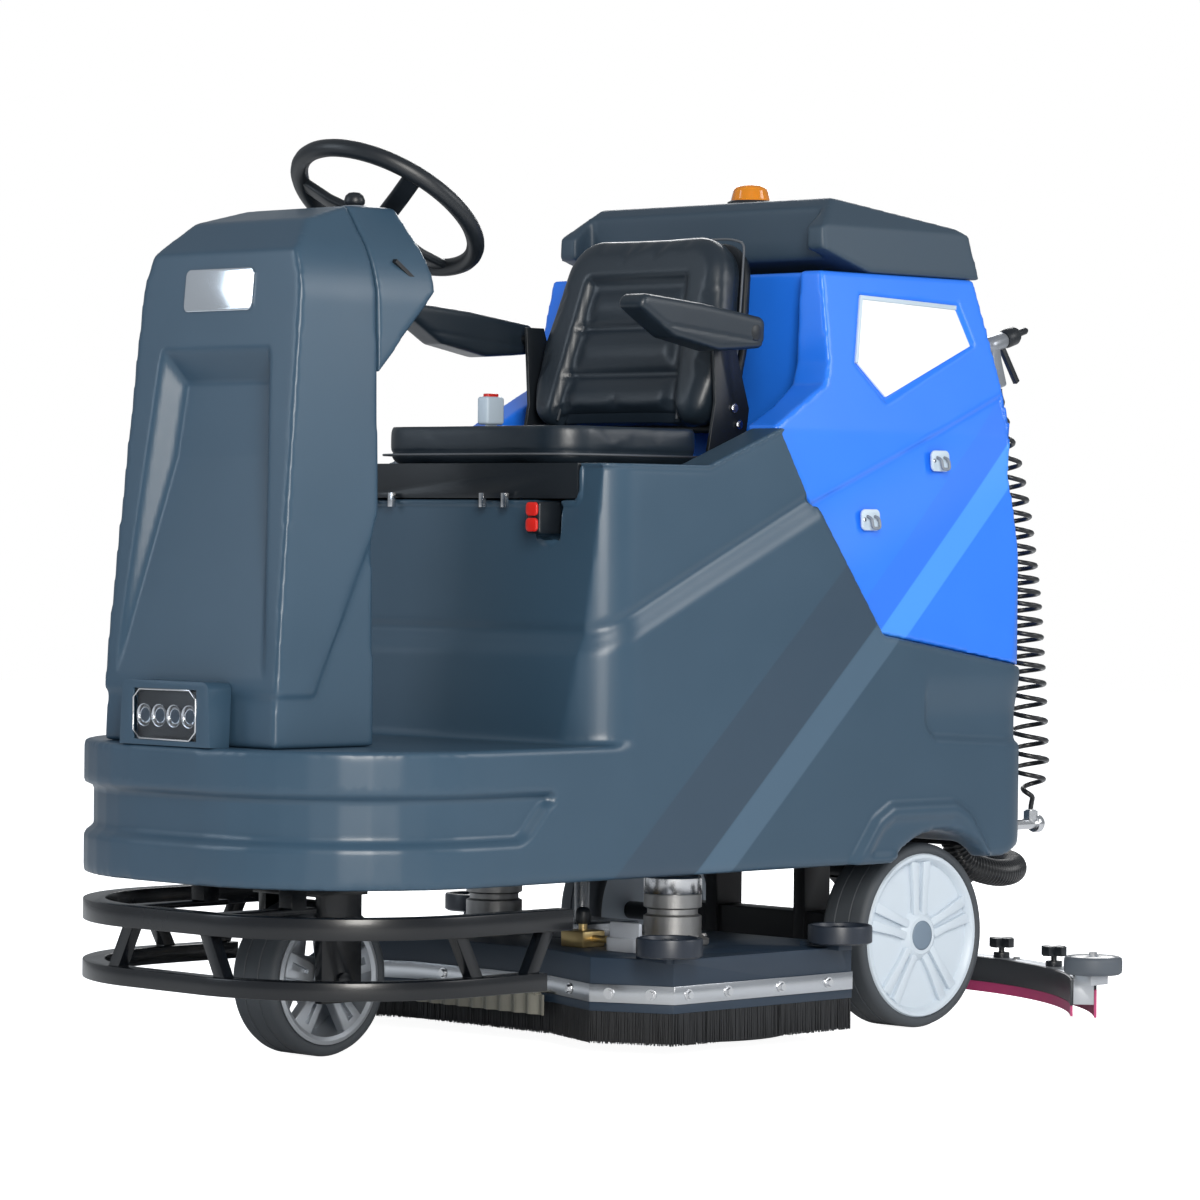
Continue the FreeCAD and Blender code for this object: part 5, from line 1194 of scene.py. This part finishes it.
# %% Rear hubs
def rear_hub(side):
    """A pale disc with a lip, five double ribs and a barrel behind, facing out on one side."""
    face = 345 * side
    step = lambda reach: face - side * reach
    disc = turned([(0, step(12)), (118, step(12)), (122, step(4)), (126, step(1)), (131, step(1)),
                   (133, step(4)),
                   (133, step(84)), (121, step(84)), (121, step(24)), (0, step(24))], (415, 150), "X", 96)
    hub = turned([(0, step(2)), (30, step(2)), (36, step(6)), (44, step(14)), (0, step(14))], (415, 150),
                 "X", 64)
    parts = [hub]
    for number in range(5):
        turn = math.radians(90 + 72 * number)
        for way in (-1, 1):
            outline = [(30, way * 3), (119, way * 6), (121, way * 24), (60, way * 17), (34, way * 17)]
            points = [(415 + r * math.cos(turn) - s * math.sin(turn),
                       150 + r * math.sin(turn) + s * math.cos(turn))
                      for r, s in outline]
            parts.append(rounded(block(points, sorted((step(4.5), step(14)))), 2, 2, 50))
    return disc, parts


for side, label in ((1, "left"), (-1, "right")):
    disc, parts = rear_hub(side)
    hub = add(disc, *parts)
    body = "rear_wheel_" + label
    piece("rear_hub_" + label, hub, body, "wheel_grey", hub_grey, replaces=("rear_rim_" + label,),
          crease=30)
    cap_side = lambda reach: side * (345 - reach)
    cap = turned([(0, cap_side(0.5)), (20, cap_side(0.5)), (24, cap_side(1.5)), (24, cap_side(4)),
                  (0, cap_side(4))],
                 (415, 150), "X", 48)
    piece("rear_cap_" + label, cap, body, "grey_plastic", cap_grey)

# %% [markdown]
# The front wheel's rim and hub are spun, and five spokes on each side join them. A slot is cut into the
# outer face of each spoke.

# %% Front wheel
rim_body = turned([(88, -44), (94, -47), (100, -45), (100, 45), (94, 47), (88, 44), (88, 30), (91, 20),
                   (91, -20),
                   (88, -30)], (-611, 118), "X", 96)
hub = turned([(12.1, -47), (28, -47), (32, -40), (32, 40), (28, 47), (12.1, 47)], (-611, 118), "X", 48)
spokes = []
for number in range(5):
    turn = math.radians(90 + 72 * number)
    for low, high in ((-44, -24), (24, 44)):
        outline = [(28, -13), (90, -21), (90, 21), (28, 13)]
        points = [(-611 + r * math.cos(turn) - s * math.sin(turn),
                   118 + r * math.sin(turn) + s * math.cos(turn))
                  for r, s in outline]
        spoke = rounded(block(points, (low, high)), 2.5, 3, 50)
        slot_way = [(44, -3), (78, -6), (78, 6), (44, 3)]
        points = [(-611 + r * math.cos(turn) - s * math.sin(turn),
                   118 + r * math.sin(turn) + s * math.cos(turn))
                  for r, s in slot_way]
        cut_span = (-60, -36) if low < 0 else (36, 60)
        spokes.append(combine(spoke, block(points, cut_span)))
piece("front_rim_spoked", add(rim_body, hub, *spokes), "front_wheel", "wheel_silver", rim_silver,
      replaces=("front_rim",), crease=30)
softened("front_fork", 2.5, "black_plastic", guard_black)
screws("fork_bolts", "fork", [((side * 66, -611 + y, 118 + z), (side, 0, 0)) for side in (1, -1)
                              for y, z in ((-16, 12), (16, 12))], 7, 5)

# %% [markdown]
# ## Guard, frame and other steel
# These pieces are plain pressed or welded steel, so a copy of the frame's own node with its edges rounded
# is the finished piece.

# %% Steel pieces with rounded edges
for name, width, slot_name, paint in (
        ("front_guard", 4.5, "guard_steel", guard_black), ("chassis_frame", 2, "frame_steel", frame_black),
        ("squeegee_arm", 2, "frame_steel", frame_black), ("lift_rod", 1.5, "bright_steel", steel),
        ("rear_axle", 2, "frame_steel", frame_black), ("drive_motor", 3, "black_plastic", frame_black),
        ("vacuum_motor", 3, "black_plastic", black_plastic),
        ("battery_pack", 4, "battery_plastic", black_plastic),
        ("hinge_brackets", 1, "bright_steel", steel), ("seat_plate", 4, "black_plastic", black_plastic),
        ("accelerator_pedal", 3, "black_plastic", black_plastic),
        ("deck_housing", 6, "deck_plastic", deck_navy),
        ("deck_band", 0.6, "stainless", strap_steel),
        ("squeegee_bar", 1.2, "squeegee_alloy", squeegee_grey),
        ("squeegee_knobs", 1.6, "black_plastic", black_plastic)):
    softened(name, width, slot_name, paint)

# %% [markdown]
# ## Dash, lamp and steering
# A rubber boot closes the dash round the steering shaft. The wheel's ring is thicker than its spokes.

# %% Steering wheel
STEER = Matrix.Translation(spot(0, -465, 1296)) @ Matrix.Rotation(math.radians(-34.6), 4, "X")


def on_steering(bm):
    bmesh.ops.transform(bm, matrix=STEER, verts=bm.verts[:])
    return bm


ring_line = [(150 * math.cos(turn), 150 * math.sin(turn), 0)
             for turn in (2 * math.pi * step / 96 for step in range(96))]
hub = turned([(9, -46), (26, -46), (34, -40), (34, -28), (28, -20), (18, -17), (0, -16), (0, -24),
              (9, -24)], (0, 0))
wheel = add(swept(ring_line, 13.8, 16, True), hub)
for turn in (90, 210, 330):
    arm = rounded(block([(16, -36), (90, -25), (146, -8), (146, 6), (88, -11), (16, -22)], (-15, 15), "Y"),
                  5, 3, 50)
    bmesh.ops.transform(arm, matrix=Matrix.Rotation(math.radians(turn), 4, "Z"), verts=arm.verts[:])
    wheel = add(wheel, arm)
piece("steering_wheel_round", on_steering(wheel), "steering", "black_plastic", black_plastic,
      replaces=("steering_wheel",), crease=40)
boot = turned([(15.2, -140), (46, -140), (44, -104), (36, -100), (36, -92), (29, -88), (29, -80), (24, -76),
               (20, -58),
               (15.2, -58)], (0, 0))
piece("steering_boot", on_steering(boot), "chassis", "black_plastic", black_plastic, crease=40)

# %% [markdown]
# The knob is spun from one profile with a domed top. Its seat stays on the dash.

# %% Speed knob
KNOB = (78, -604)
piece("speed_knob_domed", turned([(4.1, 1289.4), (13, 1289.4), (15.5, 1292), (16, 1297), (14, 1304),
                                  (9, 1308.5),
                                  (0, 1310), (0, 1298), (4.1, 1298)], KNOB), "speed_knob", "black_plastic",
      black_plastic, replaces=("speed_knob",), crease=50)
piece("knob_seat", add(turned([(0, 1280), (20, 1280), (20, 1287), (18, 1289), (0, 1289)], KNOB),
                       drum(KNOB, 3.9, (1284, 1297))), "chassis", "black_plastic", grey_plastic, crease=40)

# %% [markdown]
# Four spun bowls stand before a dark panel inside the bezel, and a thin bright line frames them.

# %% Headlight
softened("headlight_bezel", 2.5, "body_plastic", slate, 3)
piece("lamp_panel", rounded(block([(-71, 487), (71, 487), (71, 561), (-71, 561)], (-893, -889.2), "Y"), 1,
                            2),
      "chassis", "black_plastic", black_plastic)
bowls = [turned([(0, -892.5), (6, -893), (12, -896), (15, -899.5), (17, -899.5), (17, -889.5), (0, -889.5)],
                (x, 522), "Y", 40)
         for x in (-51, -17, 17, 51)]
piece("lamp_bowls", add(*bowls), "chassis", "bright_steel", steel, crease=50)
frame_line = [(x, -903.5, z) for x, z in ((-71, 500), (-71, 548), (-57, 561), (57, 561), (71, 548),
                                          (71, 500), (57, 487),
                                          (-57, 487))]
piece("lamp_edge", swept(frame_line, 1.6, 8, True), "chassis", "bright_steel", steel)

# %% [markdown]
# ## Plates, hooks and small fittings
# The tank's side leans in, more steeply above its crease. A piece made flat at the origin is laid on it
# with on_tank(). All plates are blank.

# %% Laying pieces on the tank
def on_tank(bm, y, z, side):
    """Lay a mesh made in the YZ plane, with X outward, on the tank's side at a place in mm."""
    if z > 968:
        lean, x = math.atan2(48, 264), 352 - (z - 968) * 48 / 264
    else:
        lean, x = math.atan2(19, 387), 371 - (z - 581) * 19 / 387
    place = Matrix.Translation(spot(x, y, z)) @ Matrix.Rotation(-lean, 4, "Y")
    if side < 0:
        place = Matrix.Scale(-1, 4, (1, 0, 0)) @ place
    bmesh.ops.transform(bm, matrix=place, verts=bm.verts[:])
    bmesh.ops.recalc_face_normals(bm, faces=bm.faces[:])
    return bm


PANEL = [(-116, -22), (-86, 83), (142, 75), (168, 15), (-58, -76)]
HOOKS = ((431, 921), (257, 824))
panels, strips, hooks, plates, heads = [], [], [], [], []
for side in (1, -1):
    panels.append(on_tank(rounded(block(PANEL, (-6, -0.5)), 1.5, 3), 372, 1097, side))
    strip = block([(-122, -22), (-91, 90), (145, 82), (143, 75), (-86, 83), (-116, -22)], (-6, 1))
    strips.append(on_tank(rounded(strip, 0.8, 2), 372, 1097, side))
    for y, z in HOOKS:
        plate = rounded(block([(-22, -17), (22, -17), (22, 17), (-22, 17)], (0, 4), "X",
                              [((0, 1, 2, 3), 9)]), 1.2, 2)
        plates.append(on_tank(plate, y, z, side))
        hook = swept(bend([(2, -9, 6), (13, -9, 2), (15, -9, -14), (15, 9, -14), (13, 9, 2), (2, 9, 6)], 6),
                     2.6, 10)
        hooks.append(on_tank(hook, y, z, side))
        for across in (-16, 16):
            heads.append(on_tank(turned([(0, 3), (3.6, 3), (3.6, 5), (2.6, 6), (0, 6)], (across, 0), "X",
                                        20), y, z, side))
lean = Matrix.Rotation(-math.atan2(53, 552), 4, "X")
nose = rounded(block([(-77, 0), (77, 0), (77, 64), (-77, 64)], (0, 4), "Y", [((0, 1, 2, 3), 10)]), 1.4, 3)
bmesh.ops.transform(nose, matrix=Matrix.Translation(spot(0, -809.2, 1124)) @ lean, verts=nose.verts[:])
piece("side_panels", add(*panels), "chassis", "plate_pale", panel_white, replaces=("name_plates",))
piece("panel_strips", add(*strips), "chassis", "grey_plastic", pale_grey)
piece("nose_plate", nose, "chassis", "plate_pale", chrome)
piece("hook_plates", add(*plates), "chassis", "grey_plastic", pale_grey, replaces=("tank_fittings",),
      crease=40)
piece("hook_bars", add(*hooks), "chassis", "grey_plastic", grey_plastic)
piece("hook_screws", add(*heads), "chassis", "bright_steel", steel, crease=40)

# %% [markdown]
# A small block holds the gun. The tap is two pipes at right angles, with a spun handle and a six-sided nut.

# %% Gun clip and water tap
clip = rounded(block([(270, 604), (300, 604), (300, 641), (270, 641)], (1060, 1070), "Z"), 2, 2)
piece("gun_clip", clip, "chassis", "black_plastic", black_plastic)
tap = add(drum((302, 318), 9, (661, 747), "Y", 32), drum((302, 737), 9, (318, 342), "Z", 32),
          turned([(0, 744), (14, 744), (15, 747), (15, 756), (13, 759), (0, 759)], (302, 318), "Y", 32),
          turned([(9, 326), (12.5, 326), (12.5, 340), (9, 340)], (302, 737), "Z", 6))
piece("water_tap", tap, "chassis", "bright_steel", steel, crease=35)

# %% [markdown]
# The gun is made level at the origin and then tilted into place. Barrel and grip are united, and a slot is
# cut for the trigger, which keeps the frame's shape.

# %% Spray gun
GUN = Matrix.Translation(spot(285, 640, 1118)) @ Matrix.Rotation(math.radians(17), 4, "X")


def on_gun(bm):
    bmesh.ops.transform(bm, matrix=GUN, verts=bm.verts[:])
    return bm


trigger_slot = block([(-4.3, 12.5), (4.3, 12.5), (4.3, 40), (-4.3, 40)], (-24, 4), "Z")
barrel = turned([(0, -16), (9, -15), (13, -10), (14, 0), (14, 30), (12, 34), (0, 34)], (0, 0), "Y", 48)
grip = rounded(block([(-13, -73.5), (12, -73.5), (10, -30), (13, 2), (-10, 6), (-12, -30)], (-11, 11)), 5,
               4, 40)
barrel = combine(combine(barrel, grip, "UNION"), trigger_slot)
piece("gun_body", on_gun(barrel), "chassis", "grey_plastic", gun_silver, replaces=("spray_gun",), crease=40)
collar = turned([(0, 34), (14, 34), (16, 38), (16, 60), (13, 66), (8, 68), (6, 70), (6, 92), (4, 96),
                 (0, 96)], (0, 0), "Y", 48)
piece("gun_collar", on_gun(collar), "chassis", "black_plastic", black_plastic, crease=40)
piece("gun_pin", on_gun(drum((24, -7), 2, (-8, 8), "X", 20)), "chassis", "bright_steel", steel, crease=40)
softened("gun_trigger", 2, "black_plastic", black_plastic)

# %% [markdown]
# The battery plug is two red blocks with round corners, one above the other.

# %% Battery plug
plug = [rounded(block([(225, low), (249, low), (249, low + 21), (225, low + 21)], (-381, -340), "Y",
                      [((0, 1, 2, 3), 7)]), 1.5, 2) for low in (800, 824)]
piece("battery_plug", add(*plug), "chassis", "red_plastic", red_plastic)

# %% [markdown]
# The beacon's amber dome is spun from a profile with five ribs, and a black ring holds it on the lid.

# %% Beacon
beacon = [(0, 1348.2), (34, 1348.2), (34, 1352)]
for number in range(5):
    beacon += [(33.2 - number, 1353 + number * 4), (32.4 - number, 1356 + number * 4)]
beacon += [(26, 1375), (20, 1378.5), (10, 1380), (0, 1380)]
piece("beacon_dome", turned(beacon, (0, 356)), "lid", "beacon_amber", amber, replaces=("beacon_lens",),
      crease=60)
piece("beacon_ring", turned([(30, 1346), (39, 1346), (39, 1350), (36, 1353), (34.5, 1353), (34.5, 1348),
                             (30, 1348)],
                            (0, 356)), "lid", "black_plastic", black_plastic, crease=50)

# %% [markdown]
# ## Brush deck
# A stainless strap bolts the bristle skirt round the deck. The skirt is a thin dark wall with a row of
# single bristles in front of it, each leaning a little its own way.

# %% Bristle skirt
DECK = [(404, -231), (404, 175), (300, 209), (-300, 209), (-404, 175), (-404, -231), (-283, -289),
        (-155, -242),
        (155, -242), (283, -289)]


def grown(outline, by):
    """An outline moved out by a distance on every side."""
    moved = []
    for before, corner, after in zip(outline[-1:] + outline[:-1], outline, outline[1:] + outline[:1]):
        normals = []
        for (a1, b1), (a2, b2) in ((before, corner), (corner, after)):
            length = math.hypot(a2 - a1, b2 - b1)
            normals.append(Vector(((b1 - b2) / length, (a2 - a1) / length)))
        middle = (normals[0] + normals[1]).normalized()
        moved.append(tuple(Vector(corner) - middle * by / middle.dot(normals[0])))
    return moved


def band(outer, inner, span):
    """The wall between the deck's outline grown by two amounts."""
    return combine(block(grown(DECK, outer), span, "Z"),
                   block(grown(DECK, inner), (span[0] - 5, span[1] + 5), "Z"))


random.seed(4)
bristles = band(-2.6, -8, (21, 81))
line = grown(DECK, -1.5)
for (a1, b1), (a2, b2) in zip(line, line[1:] + line[:1]):
    length = math.hypot(a2 - a1, b2 - b1)
    count = int(length / 2.1)
    along_x, along_y = (a2 - a1) / length, (b2 - b1) / length
    for number in range(count):
        share = (number + random.random() * 0.8) / count
        x, y = a1 + (a2 - a1) * share, b1 + (b2 - b1) * share
        sway, tip = random.uniform(-1.4, 1.4), 18.2 + random.random() * 1.6
        root = [bristles.verts.new(spot(x + along_x * s - along_y * t, y + along_y * s + along_x * t, 80))
                for s, t in ((-1.1, -1.1), (1.1, -1.1), (1.1, 1.1), (-1.1, 1.1))]
        end = [bristles.verts.new(spot(x + along_x * (s + sway) + along_y * t,
                                       y + along_y * (s + sway) - along_x * t, tip))
               for s, t in ((-0.7, 1.2), (0.7, 1.2), (0.7, -0.2), (-0.7, -0.2))]
        for one in range(4):
            bristles.faces.new((root[one], root[(one + 1) % 4], end[(one + 1) % 4], end[one]))
        bristles.faces.new(root)
        bristles.faces.new(end)
bmesh.ops.recalc_face_normals(bristles, faces=bristles.faces[:])
piece("bristle_skirt", bristles, "deck", "bristle_black", bristle_black, replaces=("deck_skirt",),
      smooth=False)
piece("skirt_holder", rounded(band(1, -3, (68, 81.8)), 0.8, 2), "deck", "deck_plastic", deck_navy)

# %% [markdown]
# Bolts line the steel strap round the deck. The splash strip is a wavy outline pushed upwards, with two tabs.

# %% Strap bolts and splash strip
strap = [((side * 407, y, 96), (side, 0, 0)) for side in (1, -1) for y in (-200, -112, 8, 118)]
strap += [((side * x, y, 96), (side * 0.43, -0.90, 0)) for side in (1, -1) for x,
          y in ((313, -278), (374, -249))]
strap += [((side * 219, -269, 96), (side * -0.34, -0.94, 0)) for side in (1, -1)]
strap += [((x, -245, 96), (0, -1, 0)) for x in (-90, 90)]
screws("strap_bolts", "deck", strap, 6.5, 6)
wave = [(x, -254 + 3.5 * math.sin(x / 5)) for x in range(-150, 151, 3)]
strip = block([(x, y - 1.3) for x, y in wave] + [(x, y + 1.3) for x, y in reversed(wave)], (48, 80), "Z")
tab = block([(112, -256), (130, -256), (130, -242.5), (112, -242.5)], (78, 82), "Z")
tab2 = block([(-130, -256), (-112, -256), (-112, -242.5), (-130, -242.5)], (78, 82), "Z")
piece("splash_strip", add(strip, tab, tab2), "deck", "grey_plastic", clear_strip, smooth=False)

# %% [markdown]
# The brush motors are spun as a body and a cap, with a ring of bolts. The cup rollers are spun hollow. The
# bracket, the valve and its knob are small bevelled blocks, drums and spun shapes.

# %% Motors, rollers and deck fittings
motors, caps = [], []
for x in (-203, 203):
    motors.append(turned([(11.2, 150.2), (56, 150.2), (58, 153), (58, 160), (46, 166), (46, 196), (40, 199),
                          (40, 207), (46, 210),
                          (46, 230), (42, 232), (11.2, 232)], (x, -25)))
    caps.append(turned([(0, 230), (44, 230), (46, 233), (46, 256), (43, 260), (30, 262), (0, 262)],
                       (x, -25)))
    for turn in range(0, 360, 60):
        motors.append(bolt((x + 52 * math.cos(math.radians(turn)), -25 + 52 * math.sin(math.radians(turn)),
                            163), (0, 0, 1), 4, 4))
piece("motor_bodies", add(*motors), "deck", "cast_alloy", cast, replaces=("brush_motors",), crease=35)
piece("motor_caps", add(*caps), "deck", "bright_steel", steel, crease=35)
for end, y in (("front", -252), ("rear", 135)):
    for side, x in (("left", 415), ("right", -415)):
        cup = turned([(8.1, 158), (46, 157.2), (51, 160), (51, 183), (50, 186), (47, 187), (44, 186),
                      (41, 179), (14, 178), (13, 184),
                      (8.1, 184)], (x, y))
        name = "roller_%s_%s" % (end, side)
        piece(name + "_cup", cup, body_of(nodes[name])[0], "roller_rubber", roller_blue,
              replaces=(name,), crease=40)
case = rounded(block([(218, -198), (298, -198), (298, -150), (280, -122), (218, -122)], (150.2, 172), "Z",
                     [((0, 1), 16)]), 2, 3)
rib = rounded(block([(226, -190), (290, -190), (290, -182), (226, -182)], (170, 196), "Z"), 2, 2)
piece("deck_bracket", add(case, rib), "deck", "cast_alloy", pale_cast, replaces=("deck_fittings",),
      crease=40)
valve = add(rounded(block([(118, -190), (168, -190), (168, -140), (118, -140)], (150.2, 176), "Z"), 3, 2),
            drum((143, -165), 7, (174, 190)), drum((-165, 164), 6, (168, 196), "X", 24))
piece("water_valve", valve, "deck", "bright_steel", brass, crease=40)
knob_line = [(0, 186), (10, 186), (12, 190), (12, 204), (10, 209), (6, 212), (0, 212)]
piece("valve_knob", add(turned(knob_line, (143, -165)),
                        turned([(0, 150.5), (17, 150.5), (17, 160), (14, 164), (0, 164)],
                                                               (330, -120)),
                        turned([(0, 162), (9, 162), (11, 166), (11, 174), (0, 178)], (330, -120))), "deck",
                        "black_plastic", black_plastic, crease=40)

# %% [markdown]
# ## Squeegee
# Two curved rubber blades hang under an alloy channel; a dark clamp holds the front one.

# %% Blades, clamp and side wheels
def arc_band(inner, outer, span, sweep=50.6, steps=48):
    """A curved bar about the squeegee's centre, in mm."""
    line = []
    for radius, order in ((outer, range(steps + 1)), (inner, range(steps, -1, -1))):
        for step in order:
            turn = math.radians(sweep * (2 * step / steps - 1))
            line.append((radius * math.sin(turn), 250 + radius * math.cos(turn)))
    return block(line, span, "Z")


blades = add(arc_band(650.4, 654.6, (12.2, 58)), arc_band(611.6, 615.6, (14, 31)))
piece("blade_pair", blades, "squeegee", "blade_rubber", blade_pink, replaces=("squeegee_blades",),
      crease=40)
clamp = add(rounded(arc_band(611.2, 616, (31.5, 73.4), 50.2), 0.7, 2),
            rounded(arc_band(650.6, 654.4, (59, 73), 50.2), 0.7, 2))
piece("blade_clamps", clamp, "squeegee", "squeegee_alloy", squeegee_dark, crease=40)
top_heads = []
for number in range(-4, 5):
    turn = math.radians(number * 11 + 5)
    top_heads.append(((633 * math.sin(turn), 250 + 633 * math.cos(turn), 74), (0, 0, 1)))
screws("channel_bolts", "squeegee", top_heads, 6, 4.5)
for side, x in (("left", 508), ("right", -508)):
    body = "side_wheel_" + side
    tyre = turned([(38, 87), (43, 85.2), (47, 88), (48, 93), (48, 107), (47, 112), (43, 114.6), (38, 113)],
                  (x, 652))
    piece("side_tyre_" + side, tyre, body, "tyre_rubber", side_grey, replaces=("side_wheel_" + side,),
          crease=50)
    disc = turned([(6.2, 88), (38.2, 88), (38.2, 112), (34, 113.5), (30, 111), (14, 111), (12, 114),
                   (6.2, 114)], (x, 652))
    piece("side_disc_" + side, disc, body, "plate_pale", panel_white, crease=40)
screws("side_wheel_nuts", "squeegee", [((side * 508, 652, 115.4), (0, 0, 1)) for side in (1, -1)], 7, 6)

# %% Sizes and finish
print(sum(triangles.values()), "triangles in new pieces")
